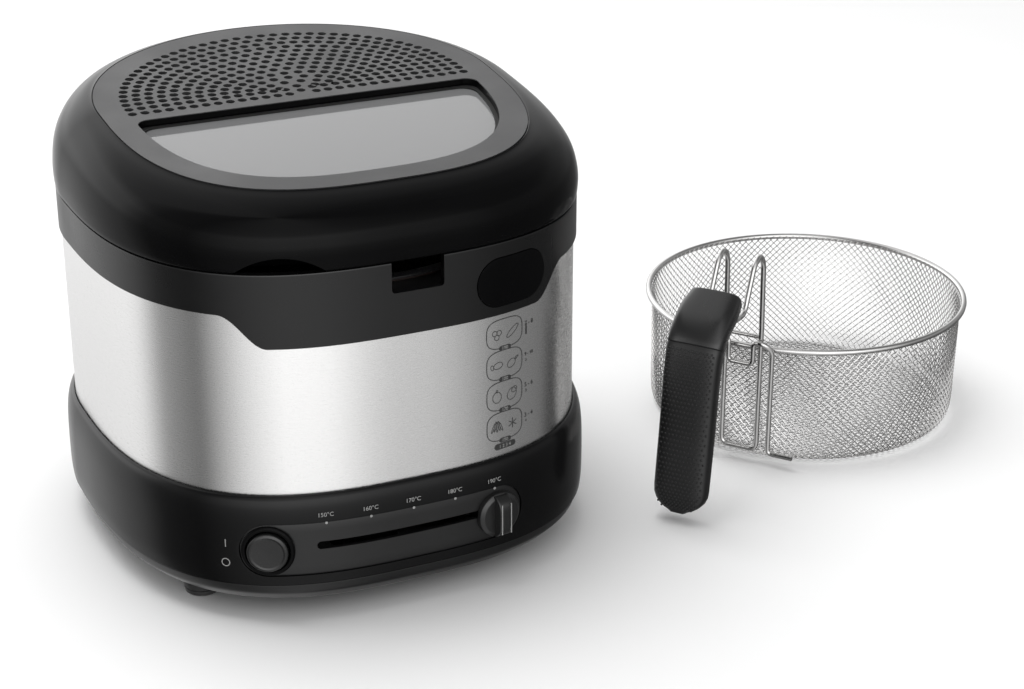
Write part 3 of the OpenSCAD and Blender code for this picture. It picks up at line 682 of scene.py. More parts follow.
def make_feet():
    profile = fillet([
        (0.01, 0.0, 0), (8.8, 0.0, 0.6), (9.8, 1.0, 0.6), (10.1, 3.0, 0.4), (9.3, 3.5, 0.3), (9.3, 4.4, 0.3),
        (10.6, 4.9, 0.4), (10.9, 7.8, 0.3), (0.01, 7.8, 0)], 4)
    for i, place in enumerate(FEET):
        foot = lathe(f"foot_{i}", profile, "rubber", place, count=64)
        done(foot, "housing", "rubber", *(["rubber_feet"] if i == 0 else []))


def stadium_cutter(name, r, low, high):
    s0, s1 = fascia_line.along(POWER_X), fascia_line.along(CTRL_END_X)
    return front_solid(name, fascia_line, stadium_columns(s0, s1, CTRL_Z, r), low, high, "satin_black")


def make_base_cover():
    outer = spline([(-3.5, PAN_Z + 0.5), (-4.1, PAN_Z + 7), (-4.25, 38), (-4.2, 50), (-3.9, 60), (-3.2, 66.5),
                    (-2.0, 71.0), (-0.6, 73.3), (0.9, BAND_Z)], 5)
    inner = fillet([(1.3, BAND_Z, 0.15), (1.3, BAND_Z - 3.5, 0), (4.6, BAND_Z - 3.5, 0),
                    (4.6, BAND_Z - 6.5, 1),
                    (-0.9, BAND_Z - 13, 3), (-1.6, 42, 8), (-0.9, PAN_Z + 0.2, 0.2),
                    (-3.2, PAN_Z + 0.2, 0.3)])
    rings = [ring3(d, z) for d, z in outer + inner]
    cover = loft("base_cover", rings, "base_black")
    cover = cut(cover, stadium_cutter("strip_hole", CTRL_R + 0.25, -9, 9))
    cover = soften(cover, 0.45, 3, 60)
    done(cover, "housing", "gloss_black", "base_shell")


def make_control_panel():
    panel = stadium_cutter("control_panel", CTRL_R, -2.2, 0.35)
    panel = soften(panel, 0.35, 2, 60)
    hole = lathe("hole", [(0.01, -9), (13.3, -9), (13.3, 9), (0.01, 9)], "satin_black",
                 place=fascia_line.frame(POWER_X, CTRL_Z))
    panel = cut(panel, hole)
    reach = math.radians(9.7) * SLIDE_R
    slot = front_solid("slot", fascia_line, stadium_columns(-reach, reach, SLOT_Z, 2.3), -6, 6, "satin_black")
    panel = cut(panel, slot)
    done(panel, "housing", "satin_black", "control_fascia")


def make_button():
    place = fascia_line.frame(POWER_X, CTRL_Z)
    collar = lathe("button_collar", fillet([
        (11.7, -5.9, 0), (13.05, -5.9, 0), (13.05, 0.45, 0), (14.6, 0.45, 0.1), (14.6, 1.6, 0.7),
        (13.6, 2.4, 0.6),
        (12.3, 2.4, 0.5), (11.7, 1.2, 0.4)]), "gloss_black", place=place)
    done(collar, "housing", "gloss_black", "button_bezel")
    cap = lathe("power_cap", fillet([
        (0.01, -3, 0), (11.15, -3, 0), (11.15, 3.9, 0.9), (9.6, 4.6, 0.5), (8.6, 4.15, 1.0),
        (0.01, 3.9, 0)], 6),
        "soft_black", place=place)
    done(cap, "power", "soft_black", "power_button")


def slide_place(z):
    """Frame on the knob's arc at rest: +Z outwards, +X along the arc, +Y up; its origin is on radius 0."""
    a = math.radians(SLIDE_REST)
    out = Vector((math.sin(a), -math.cos(a), 0))
    up = Vector((0, 0, 1))
    m = Matrix((up.cross(out), up, out)).transposed().to_4x4()
    m.translation = Vector((0, PLAN_Y - FRONT_B + FASCIA_D + SLIDE_R, z))
    return m


def make_knob():
    place = slide_place(CTRL_Z - 0.6)
    r = 13.0
    foot = SLIDE_R + 1.0
    disc = lathe("slide_knob", fillet([
        (0.01, foot, 0), (r, foot, 0.3), (r, foot + 2.9, 1.1), (r - 2.2, foot + 4.3, 1.5),
        (0.01, foot + 4.6, 0)], 5), "soft_black", place=place)
    steps, half = 22, 4.2
    rings = []
    for k in range(steps + 1):
        a = math.radians(-78 + 156 * k / steps)
        y = (r - 0.6) * math.sin(a)
        h = foot + 4.0 + 5.9 * (1 - abs(math.sin(a)) ** 5.0)
        w = min(half, math.sqrt(max(0.5, r * r - y * y)) - 0.4)
        section = fillet([(-w, foot + 2, 0), (w, foot + 2, 0), (w * 0.96, h, 0.9), (-w * 0.96, h, 0.9)], 4)
        rings.append([tuple(place @ Vector((x, y, z))) for x, z in section])
    fin = loft("knob_fin", rings, "soft_black", False, 30)
    lines = [prism("line", [(x - 0.28, -9), (x + 0.28, -9), (x + 0.28, 9), (x - 0.28, 9)], place,
                   foot + 9.6, foot + 9.97, "white_print") for x in (-2.9, 2.9)]
    done(disc, "temperature", "soft_black", "temperature_knob")
    done(fin, "temperature", "soft_black")
    done(join("knob_pointer_lines", *lines), "temperature", "soft_black")


def pad_solid(name, r, low, high, material="gloss_black", half=PAD_HALF, rows=6):
    """Solid in the release pad's outline, with ends of radius r."""
    s = ring_line.along(RELEASE_X)
    columns = stadium_columns(s - half, s + half, RELEASE_Z, r)
    return front_solid(name, ring_line, columns, low, high, material, rows)


def make_steel_wrap():
    low, high = BAND_Z - 3.4, RING_Z + 5.4
    profile = [(1.5, low + (high - low) * k / 8) for k in range(9)] + [(2.3, high), (2.3, low)]
    rings = [ring3(d, z) for d, z in profile]
    length = 0.0
    at = [0.0]
    for a, b in zip(rings[0], rings[0][1:]):
        length += math.dist(a, b) * MM
        at.append(length)
    uv = [(u, z * MM) for _, z in profile for u in at]
    band = loft("steel_wrap", rings, "brushed_band", True, 32, uv)
    band = cut(band, pad_solid("opening", PAD_R + 1.75, -8, 8, "brushed_band", 9.6))
    done(band, "housing", "brushed_band", "steel_band")


def shield_edge(x, y):
    """Height of the ring's lower edge: it drops by a soft S to the shield in front."""
    if y > 0:
        return RING_Z
    t = min(1.0, max(0.0, (98.5 - abs(x)) / 22.5))
    return RING_Z - (RING_Z - SHIELD_Z) * (1 - math.cos(math.pi * t)) / 2


def front_angles(count=COLUMNS, dense=5):
    """Angles round the plan, closer together along the front."""
    out = []
    for i in range(count):
        t = 2 * math.pi * i / count
        steps = dense if math.pi < t < 2 * math.pi else 1
        out += [t + 2 * math.pi / count * k / steps for k in range(steps)]
    return out


def clear_pad(o):
    """Makes room for the release pad as it goes in."""
    for way in (1.1, 2.2, 3.2):
        room = pad_solid("room", PAD_R + 0.3, -2.6, 0.5)
        room.data.transform(Matrix.Translation((0, way * MM, 0)))
        o = cut(o, room)
    return o


def make_upper_ring():
    angles = front_angles()
    rings = []

    def ring(d, height):
        points = []
        for t in angles:
            x, y = plan_pt(t, d)
            points.append((x, y, height(x, y)))
        rings.append(points)

    ring(0.25, shield_edge)
    ring(0.0, lambda x, y: shield_edge(x, y) + 0.3)
    for k in range(7):
        ring(0.0, lambda x, y: shield_edge(x, y) + 1 + (SEAM_Z - 2 - shield_edge(x, y)) * k / 6)
    for d, z in ((0.0, SEAM_Z - 0.7), (0.15, SEAM_Z - 0.25), (0.6, SEAM_Z), (3.7, SEAM_Z),
                 (4.2, SEAM_Z - 0.5),
                 (4.2, DECK_Z + 2.5), (4.2, DECK_Z), (2.6, DECK_Z), (2.6, RING_Z + 8), (1.4, RING_Z + 8)):
        ring(d, lambda x, y: z)
    ring(1.4, shield_edge)
    shell = loft("upper_ring", rings, "shield_black")
    corner = fillet([(NOTCH_LEFT, NOTCH_Z, 2.2), (NOTCH_RIGHT, NOTCH_Z, 2.2), (NOTCH_RIGHT, SEAM_Z + 3, 0),
                     (NOTCH_LEFT, SEAM_Z + 3, 0)], 6)
    across = Matrix(((1, 0, 0, 0), (0, 0, -1, 0), (0, 1, 0, 0), (0, 0, 0, 1)))
    shell = cut(shell, prism("notch", corner, across, 118, 165, "gloss_black"))
    shell = clear_pad(cut(shell, pad_solid("hole", PAD_R + 0.4, -12, 8)))
    done(soften(shell, 0.5, 3, 55), "housing", "gloss_black", "top_ring")


def make_notch_sill():
    low, high = RING_Z - 1, NOTCH_Z - 0.02
    xs = [NOTCH_LEFT - 1.5 + (NOTCH_W + 3) * k / 12 for k in range(13)]
    verts = [(x, front_y(x, d), z) for d, z in ((1.45, low), (1.45, high), (6.0, high),
                                                (6.0, low)) for x in xs]
    faces = grid_faces(4, 13, True, False) + [(0, 13, 26, 39), (51, 38, 25, 12)]
    done(piece("notch_sill", verts, faces, "satin_black"), "housing", "gloss_black")


def make_bowl_deck():
    r = BOWL_R + 2.7
    top = DECK_Z + 2.5
    turns = [2 * math.pi * i / COLUMNS for i in range(COLUMNS)]
    hole = [[(r * math.cos(a), BOWL_Y + r * math.sin(a), z) for a in turns] for z in (top, DECK_Z)]
    deck = loft("bowl_deck", [ring3(4.15, DECK_Z), ring3(4.15, top), *hole], "satin_black")
    done(clear_pad(deck), "housing", "gloss_black")


def make_hinge():
    lo, hi = cad_box_of("hinge_pin")
    y, z = (lo.y + hi.y) / 2, (lo.z + hi.z) / 2
    sideways = Matrix(((0, 0, 1, 0), (1, 0, 0, 0), (0, 1, 0, 0), (0, 0, 0, 1)))

    def eye(name, x, half, r, hook, material):
        """Rounded plate across X between x - half and x + half, bored for the pin."""
        arc = [(y + r * math.cos(a), z + r * math.sin(a)) for a in
               (math.radians(hook[0] + (hook[1] - hook[0]) * k / 24) for k in range(25))]
        o = prism(name, arc + hook[2], sideways, x - half, x + half, material)
        low, high = x - half - 1, x + half + 1
        bore = lathe("bore", [(0.01, low), (2.55, low), (2.55, high), (0.01, high)], material,
                     place=sideways @ Matrix.Translation((y, z, 0)), count=40)
        return soften(cut(o, bore), 0.4, 2, 50)

    foot = RING_Z + 14
    for name, side in (("left", -1), ("right", 1)):
        tail = [(y - 6.4, SEAM_Z - 0.2), (y - 11, SEAM_Z - 0.2), (y - 11, foot), (y - 4, foot),
                (y + 6.1, foot + 7)]
        ear = eye(f"hinge_ear_{name}", side * 46, 6, 6.5, (-20, 170, tail), "gloss_black")
        done(ear, "housing", "gloss_black")
        tail = [(y - 9.3, z + 5.6), (y - 9.3, z)]
        knuckle = eye(f"lid_knuckle_{name}", side * 33, 6.5, 5.6, (-190, 90, tail), "gloss_black")
        done(knuckle, "lid", "gloss_black")


def make_bowl():
    corner = [(BOWL_R - 16.4, BOWL_FLOOR - 1.2)]
    for k in range(9):
        a = math.radians(-90 + 86 * k / 8)
        corner.append((BOWL_R - 16 + 12 * math.cos(a), BOWL_FLOOR - 1.2 + 12 + 12 * math.sin(a)))
    inside = [(x - 1.2, z + (1.2 if x < BOWL_R - 5 else 0)) for x, z in reversed(corner)]
    top = fillet([(BOWL_R + 1.2, DECK_Z + 3.6, 0.3), (BOWL_R + 7, DECK_Z + 3.6, 0.3),
                  (BOWL_R + 7, DECK_Z + 4.8, 0.4),
                  (BOWL_R, DECK_Z + 4.8, 1.2)], 5)
    profile = [(0.01, BOWL_FLOOR - 1.2)] + corner + top + inside + [(0.01, BOWL_FLOOR)]
    bowl = lathe("oil_bowl", profile, "bowl_coating", (0, BOWL_Y), count=180)
    done(bowl, "housing", "bowl_coating", "bowl")


# ---------- lid ----------
def slope_place():
    return (Matrix.Translation((0, PLAN_Y, TOP_Z)) @ Matrix.Rotation(TOP_SLOPE, 4, "X")
            @ Matrix.Translation((0, -PLAN_Y, 0)))


def scoop_share(x, y):
    """1 in the middle of the finger scoop, falling to 0 beside it."""
    if y > 0:
        return 0.0
    t = abs(x - SCOOP_X) / 34
    return 0.0 if t > 1 else (0.5 + 0.5 * math.cos(math.pi * t)) ** 0.35


def make_lid_cover():
    slope = math.tan(TOP_SLOPE)
    outer = spline([(0.15, SEAM_Z + 1.2, 0, 0), (-0.35, SEAM_Z + 4, 0, 0), (-0.6, 211, 0.012, 0),
                    (0.3, 220, 0.036, 0),
                    (2.0, 226.8, 0.05, 0), (4.6, 232.2, 0.062, 0), (8.2, 237.2, 0.072, 0.4),
                    (13, 241.4, 0.082, 1.4),
                    (18, 244.1, 0.088, 2.8), (22.6, TOP_Z - 0.55, slope, 3.9),
                    (23.6, TOP_Z - 0.12, slope, 4)], 4)
    inner = [(TOP_INSET, TOP_Z - 0.3, slope, 4), (TOP_INSET, TOP_Z - 2.6, slope, 4),
             (TOP_INSET + 4, TOP_Z - 2.6, slope, 4), (TOP_INSET + 4, TOP_Z - 4.4, slope, 4),
             (18.4, 240, 0.088, 2), (11, 235, 0.078, 0), (6, 229, 0.062, 0),
             (3, 220.5, 0.04, 0), (2.4, 214, 0.02, 0)]
    rings = [ring3(*v) for v in outer + inner]

    def low_ring(d, thick, z):
        points = []
        for i in range(COLUMNS):
            t = 2 * math.pi * i / COLUMNS
            x, y = plan_pt(t, d)
            share = scoop_share(x, y)
            x, y = plan_pt(t, d + (thick - d) * share)
            points.append((x, y, z))
        rings.append(points)

    low_ring(2.2, 16, 212)
    low_ring(2.2, 16, SEAM_Z + 0.4)
    rings.append(ring3(1.9, SEAM_Z + 0.3))
    rings.append(ring3(0.7, SEAM_Z + 0.3))
    cover = loft("lid_cover", rings, "gloss_black")
    turn = fascia_line.frame(SCOOP_X, SEAM_Z - 27.5)
    turn.translation = Vector((SCOOP_X, -133, SEAM_Z - 27.5))
    scoop = lathe("scoop", [(0.01, -8), (36.5, -8), (36.5, 22), (0.01, 22)], "gloss_black", place=turn,
                  count=240)
    cover = cut(cover, scoop)
    cover = soften(cover, 0.55, 3, 55)
    done(cover, "lid", "gloss_black", "lid_shell")


def window_outline(d, y1, r, steps=64):
    """The plan's front part closed by a straight edge at y1, with round corners."""
    t0 = math.asin(((PLAN_Y - y1 + r) / (FRONT_B - d - 4)) ** (FRONT_N / 2))
    arc = [plan_pt(math.pi + t0 + (math.pi - 2 * t0) * i / steps, d, 4) for i in range(steps + 1)]
    x1 = abs(arc[0][0])
    turn = [math.radians(90 * k / 8) for k in range(1, 9)]
    right = [(x1 - r + r * math.cos(a), y1 - r + r * math.sin(a)) for a in turn]
    left = [(-x1 + r - r * math.sin(a), y1 - r + r * math.cos(a)) for a in [0] + turn[:-1]]
    return arc + right + left


def grille_points():
    points = []
    d = TOP_INSET + FRAME_W + 2
    while d < HALF_W - 3:
        count = max(2, round(math.pi * (HALF_W + BACK_B - 2 * d) / 2 / HOLE_PITCH))
        points += [plan_pt(math.pi * i / count, d) for i in range(count + 1)]
        points += [(side * (HALF_W - d), PLAN_Y - HOLE_PITCH) for side in (-1, 1)]
        d += HOLE_PITCH
    return points


def make_top_plate():
    place = slope_place()
    outline = [plan_pt(2 * math.pi * i / COLUMNS, TOP_INSET + 0.3, 4) for i in range(COLUMNS)]
    window = window_outline(WINDOW_D, WINDOW_Y, WINDOW_R)
    verts = [(x * MM, y * MM, 0) for x, y in outline + window + grille_points()]
    edges = [(i, (i + 1) % COLUMNS) for i in range(COLUMNS)]
    edges += [(COLUMNS + i, COLUMNS + (i + 1) % len(window)) for i in range(len(window))]
    me = bpy.data.meshes.new("grille_plate")
    me.from_pydata(verts, edges, [])
    plate = link("grille_plate", me)
    run_tree(plate, pierced_plate_tree(), {"Hole_Radius": HOLE_R * MM, "Sides": 20, "Thickness": PLATE_H * MM,
                                           "Material": M["grey_plate"]})
    plate = bake(plate, None)
    lift = Matrix.Scale(MM, 4) @ place @ Matrix.Translation((0, 0, -PLATE_H)) @ Matrix.Scale(1 / MM, 4)
    plate.data.transform(lift)
    finish_mesh(plate.data, 30)
    done(plate, "lid", "grey_plate", "top_plate")

    edge = window_outline(WINDOW_D + 0.05, WINDOW_Y - 0.05, WINDOW_R)
    back = window_outline(WINDOW_D - 2.2, WINDOW_Y + 2.2, WINDOW_R + 2)
    levels = [(edge, -0.5), (edge, -5.1), (back, -5.1), (back, -2.5)]
    rings = [[tuple(place @ Vector((x, y, z))) for x, y in line] for line, z in levels]
    done(loft("window_collar", rings, "gloss_black"), "lid", "grey_plate")

    glass = prism("viewing_glass", back, place, -8.3, -5.3, "smoked_glass")
    done(glass, "lid", "smoked_glass", "window_pane")


def make_lid_gasket():
    profile = fillet([(5, SEAM_Z - 1.4, 0.8), (6.6, SEAM_Z - 2, 0.4), (8.5, SEAM_Z - 0.8, 0.6),
                      (8.5, SEAM_Z + 4.8, 0),
                      (5, SEAM_Z + 4.8, 0)], 4)
    gasket = loft("lid_gasket", [ring3(d, z) for d, z in profile], "rubber")
    gasket = cut(gasket, block("gap", (NOTCH_LEFT, NOTCH_RIGHT), (-160, -118), (190, 202), "rubber"))
    gasket = cut(gasket, block("gap", (-99, -35), (-160, -100), (190, 210), "rubber"))
    done(gasket, "lid", "rubber", "lid_seal")


def make_release_pad():
    pad = pad_solid("release_pad", PAD_R, -2.3, 0.45, rows=8)
    done(soften(pad, 1.5, 4, 60), "release", "gloss_black", "release_button")


# ---------- basket ----------
def basket_place(points):
    return [(BASKET_X + x, BASKET_Y + y, z) for x, y, z in points]


def side_profile():
    """(radius, height, length along) from the floor's edge, round the corner and up to the rim."""
    inset = [(9.5, 0.9), (5.4, 1.7), (2.4, 5.2), (1.4, 12.0), (1.1, 30.0), (0.7, 54.0), (0.5, RIM_Z + 0.6)]
    curve = spline([(MESH_R - d, z) for d, z in inset], 12)
    out, length = [], 0.0
    for i, (r, z) in enumerate(curve):
        if i:
            length += math.dist(curve[i - 1], (r, z))
        out.append((r, z, length))
    return out


def make_weave():
    count = round(2 * math.pi * MESH_R / WEAVE)
    profile = side_profile()
    total = profile[-1][2]
    crossings = round(total / (WEAVE / 2))
    tree = strand_tree()
    for name, hand in (("basket_weave_right", 1), ("basket_weave_left", -1)):
        path = []
        for k in range(crossings + 1):
            want = total * k / crossings
            i = max(1, next((j for j, p in enumerate(profile) if p[2] >= want - 1e-6), len(profile) - 1))
            a, b = profile[i - 1], profile[i]
            t = (want - a[2]) / (b[2] - a[2])
            r, z = a[0] + t * (b[0] - a[0]), a[1] + t * (b[1] - a[1])
            turn = hand * math.pi * k / count
            swing = WEAVE_R * 0.95 * (1 if k % 2 else -1) * hand
            path.append(((r + swing) * math.cos(turn), (r + swing) * math.sin(turn), z))
        me = bpy.data.meshes.new(name)
        me.from_pydata([tuple(c * MM for c in p) for p in path],
                       [(i, i + 1) for i in range(len(path) - 1)], [])
        o = link(name, me)
        run_tree(o, tree, {"Count": count, "Radius": WEAVE_R * MM, "Sides": 5, "Material": M["basket_wire"],
                           "Centre": (BASKET_X * MM, BASKET_Y * MM, 0)})
        o = bake(o, 60)
        done(o, "basket", "basket_wire", *(["basket_mesh"] if hand > 0 else []))


def make_floor_weave():
    pitch = WEAVE / math.sqrt(2)
    reach = MESH_R - 8.6
    half = int(reach / pitch)
    for name, lead in (("basket_floor_warp", 0), ("basket_floor_weft", 1)):
        paths = []
        for i in range(-half, half + 1):
            across = i * pitch
            chord = math.sqrt(max(0.0, reach * reach - across * across))
            n = int(chord / pitch)
            path = []
            for j in range(-n, n + 1):
                swing = WEAVE_R * 0.95 * (1 if (i + j + lead) % 2 else -1)
                p = (across, j * pitch, 0.95 + swing) if lead else (j * pitch, across, 0.95 + swing)
                path.append(p)
            if len(path) > 1:
                paths.append(basket_place(path))
        done(wires(name, paths, WEAVE_R, "basket_wire", 4, angle=60), "basket", "basket_wire")


def bend(points, reach, steps=6):
    """Path with each inner corner replaced by a bend."""
    pts = [Vector(p) for p in points]
    out = [pts[0]]
    for a, p, b in zip(pts, pts[1:], pts[2:]):
        k = min(reach, (a - p).length * 0.49, (b - p).length * 0.49)
        s, e = p + (a - p).normalized() * k, p + (b - p).normalized() * k
        for j in range(steps + 1):
            t = j / steps
            out.append(s * (1 - t) ** 2 + p * 2 * t * (1 - t) + e * t * t)
    return out + [pts[-1]]


def in_handle(points):
    """Points (outwards, sideways, up) in the handle's frame, moved to the basket."""
    c, s = math.cos(HANDLE_DIR), math.sin(HANDLE_DIR)
    return [(BASKET_X + u * c - v * s, BASKET_Y + u * s + v * c, z) for u, v, z in points]


def make_basket_wires():
    turns = [2 * math.pi * i / 180 for i in range(180)]
    circle = basket_place([(RIM_R * math.cos(a), RIM_R * math.sin(a), RIM_Z) for a in turns])
    done(wires("rim_wire", [circle], 1.85, "basket_wire", 16, True), "basket", "basket_wire", "basket_rim")
    a = RIM_R + 1.9 + 0.05 + WIRE_R
    half = [(a, 35, 9), (a, 19, 9), (a, 19, RIM_Z + 1), (CROSS_U, 15, RIM_Z + 6), (CROSS_U, 8, RIM_Z + 6),
            (CROSS_U, 8, RIM_Z - 8.5)]
    path = bend(half + [(u, -v, z) for u, v, z in reversed(half)], 3.2)
    bracket = wires("bracket_wire", [in_handle(path)], WIRE_R, "basket_wire", 14)
    done(bracket, "basket", "basket_wire", "basket_bracket")


def make_handle():
    v = WIRE_GAP / 2
    half = [(166, v, 113.6), (152, v, 112.2), (134, v, 111), (120.5, v, 138), (112, v, 141), (106.1, v, 134),
            (TONGUE_U, v, 90), (TONGUE_U, v, 10)]
    path = bend(half + [(u, -w, z) for u, w, z in reversed(half)], 5)
    pin = [(TONGUE_U, -v, RIM_Z + 9), (TONGUE_U, v, RIM_Z + 9)]
    loops = wires("handle_wires", [in_handle(path)], WIRE_R, "basket_wire", 14)
    cross = wires("handle_tie", [in_handle(pin)], 1.3, "basket_wire", 12)
    done(loops, "handle", "basket_wire", "handle_wire")
    done(cross, "handle", "basket_wire")


def grip_sections(i0, i1, steps=4):
    """Sections (u, z, turn, width, thickness) along the grip between two path points."""
    last = len(GRIP) - 1
    full = []
    for i, (u, z) in enumerate(GRIP):
        e = 0.9 if i == 0 else 0.72 if i == last else 0.93 if i == last - 1 else 1.0
        full.append((u, z, (35 - 0.2 * i) * (e if i == 0 else 1.0), 14.5 * e))
    fine = spline(full, steps)
    out = []
    for k in range(i0 * steps, i1 * steps + 1):
        a, b = fine[max(k - 1, 0)], fine[min(k + 1, len(fine) - 1)]
        out.append((*fine[k][:2], math.atan2(b[1] - a[1], b[0] - a[0]) + math.pi / 2, *fine[k][2:]))
    return out


def grip_ring(section, shrink=1.0, count=48, fa=0.5, fb=0.6):
    u, z, turn, w, h = section
    ring = []
    for k in range(count):
        a = 2 * math.pi * k / count
        p = w * shrink / 2 * power(math.cos(a), fa)
        q = h * shrink / 2 * power(math.sin(a), fb)
        ring.append((u + q * math.cos(turn), p, z + q * math.sin(turn)))
    return in_handle(ring)


def round_end(sections, reach=13.0):
    """The same sections with the last of them narrowed to a round end."""
    end = Vector(sections[-1][:2])
    out = []
    for u, z, turn, w, h in sections:
        left = max(0.0, 1 - (Vector((u, z)) - end).length / reach)
        out.append((u, z, turn, w * max(0.3, math.sqrt(1 - left ** 2)), h))
    return out


def make_grip():
    top = grip_sections(0, 3)
    rings = [grip_ring(top[0], 0.86)] + [grip_ring(s) for s in top]
    collar = loft("grip_top", rings, "soft_black", False, 50)
    done(soften(collar, 0.5, 2, 60, 50), "handle", "gloss_black", "grip_collar")
    low = round_end(grip_sections(3, len(GRIP) - 1))
    rings = [grip_ring(s, GRIP_STEP) for s in low] + [grip_ring(low[-1], 0.8)]
    body = loft("grip_lower", rings, "grip_black", False, 50)
    done(soften(body, 0.5, 2, 60, 50), "handle", "grip_black", "grip_body")
    make_studs(stud_corners(low))


def stud_corners(sections):
    """Three corners of a tiny face for every stud, in staggered rows down the grip's outer side."""
    c, s = math.cos(HANDLE_DIR), math.sin(HANDLE_DIR)
    corners = []
    row = 0
    for (u, z, turn, w, h), after in zip(sections[1:-3], sections[2:]):
        outwards = Vector((math.cos(turn) * c, math.cos(turn) * s, math.sin(turn)))
        a = outwards.orthogonal().normalized() * 0.05
        b = outwards.cross(a)
        for part in (0, 0.5):
            row += 1
            for k in range(-6, 7):
                p = (k + 0.5 * (row % 2)) * STUD_PITCH
                if abs(p) > w / 2 - 2.4:
                    continue
                q = h * GRIP_STEP / 2 * max(0.0, 1 - (2 * p / w) ** 4) ** 0.3
                spot = Vector(in_handle([(u + (after[0] - u) * part + q * math.cos(turn), p,
                                          z + (after[1] - z) * part + q * math.sin(turn))])[0])
                corners += [spot + a, spot + b, spot - a - b]
    return corners


def make_studs(corners):
    """One low stud on the middle of every three corners."""
    me = bpy.data.meshes.new("grip_studs")
    faces = [(i, i + 1, i + 2) for i in range(0, len(corners), 3)]
    me.from_pydata([tuple(p * MM) for p in corners], [], faces)
    o = link("grip_studs", me)
    t, i, out = new_tree("grip_studs_tree", Radius="Float", Height="Float", Material="Material")
    held = add(t, "GeometryNodeCaptureAttribute", Geometry=i["Geometry"])
    held.domain = "FACE"
    held.capture_items.new("VECTOR", "Normal")
    t.links.new(add(t, "GeometryNodeInputNormal").outputs[0], held.inputs["Normal"])
    spots = add(t, "GeometryNodeMeshToPoints", {"mode": "FACES"}, Mesh=held.outputs["Geometry"])
    dome = add(t, "GeometryNodeMeshUVSphere", {"Segments": 8, "Rings": 5}, Radius=i["Radius"])
    scale = add(t, "ShaderNodeCombineXYZ", {"X": 1.0, "Y": 1.0},
                Z=maths(t, "DIVIDE", i["Height"], i["Radius"]))
    turn = add(t, "FunctionNodeAlignRotationToVector", {"axis": "Z"}, Vector=held.outputs["Normal"])
    copies = add(t, "GeometryNodeInstanceOnPoints", Points=spots.outputs[0], Instance=dome.outputs["Mesh"],
                 Rotation=turn.outputs[0], Scale=scale.outputs[0])
    coated(t, i, out, copies.outputs[0])
    run_tree(o, t, {"Radius": 0.72 * MM, "Height": 0.5 * MM, "Material": M["grip_black"]})
    done(bake(o, 60), "handle", "grip_black")


# ---------- printed marks ----------
def print_text(name, text, line, s, z, width, material, h=0.0, thick=0.06):
    """Raised lettering bent onto the front, width millimetres wide and centred on s."""
    curve = bpy.data.curves.new(name, "FONT")
    curve.body = text
    curve.align_x = "CENTER"
    curve.align_y = "CENTER"
    curve.size = 1
    o = bake(link(name, curve), None)
    xs = [v.co.x for v in o.data.vertices]
    ys = [v.co.y for v in o.data.vertices]
    k = width / (max(xs) - min(xs))
    mx, my = (max(xs) + min(xs)) / 2, (max(ys) + min(ys)) / 2
    bm = bmesh.new()
    bm.from_mesh(o.data)
    bmesh.ops.remove_doubles(bm, verts=bm.verts, dist=1e-5)
    top = bmesh.ops.extrude_face_region(bm, geom=bm.faces[:])
    up = {v for v in top["geom"] if isinstance(v, bmesh.types.BMVert)}
    for v in bm.verts:
        p = line.at(s + (v.co.x - mx) * k, z + (v.co.y - my) * k, h + (thick if v in up else -0.05))
        v.co = p * MM
    bm.to_mesh(o.data)
    bm.free()
    o.data.materials.clear()
    o.data.materials.append(M[material])
    finish_mesh(o.data, 30)
    return o


def ellipse(s, z, a, b, turn=0.0, n=20, power_n=1.0):
    t = math.radians(turn)
    out = []
    for k in range(n):
        w = 2 * math.pi * k / n
        x, y = a * power(math.cos(w), power_n), b * power(math.sin(w), power_n)
        out.append((s + x * math.cos(t) - y * math.sin(t), z + x * math.sin(t) + y * math.cos(t)))
    return out


def strokes(name, line, paths, radius, material, cyclic, h=0.0):
    points = [[line.at(s, z, h) for s, z in path] for path in paths]
    return wires(name, points, radius, material, 6, cyclic)


def make_scale_marks():
    line = FrontLine(FASCIA_D - 1.05)
    first, pitch = -51.9, 24.35
    parts = []
    for k in range(5):
        s = line.along(first + pitch * k)
        parts.append(print_text(f"mark_{k}", f"{150 + 10 * k}°C", line, s, 63.6, 8.1, "white_print"))
        dot = ellipse(s, 58.6, 0.75, 0.75, 0, 16)
        rings = [[tuple(line.at(a, b, h)) for a, b in dot] for h in (-0.05, 0.08)]
        parts.append(loft(f"dot_{k}", rings, "white_print", False))
    done(join("temperature_marks", *parts), "housing", "gloss_black")
    edge = FrontLine(FASCIA_D - 1.2)
    s = edge.along(-101.5)
    ring = strokes("off_mark", edge, [ellipse(s, 35.5, 2.2, 2.2, 0, 24)], 0.28, "white_print", True)
    bar = strokes("on_mark", edge, [[(s + 0.3, 44.9), (s + 0.3, 49.3)]], 0.28, "white_print", False)
    done(ring, "housing", "gloss_black")
    done(bar, "housing", "gloss_black")


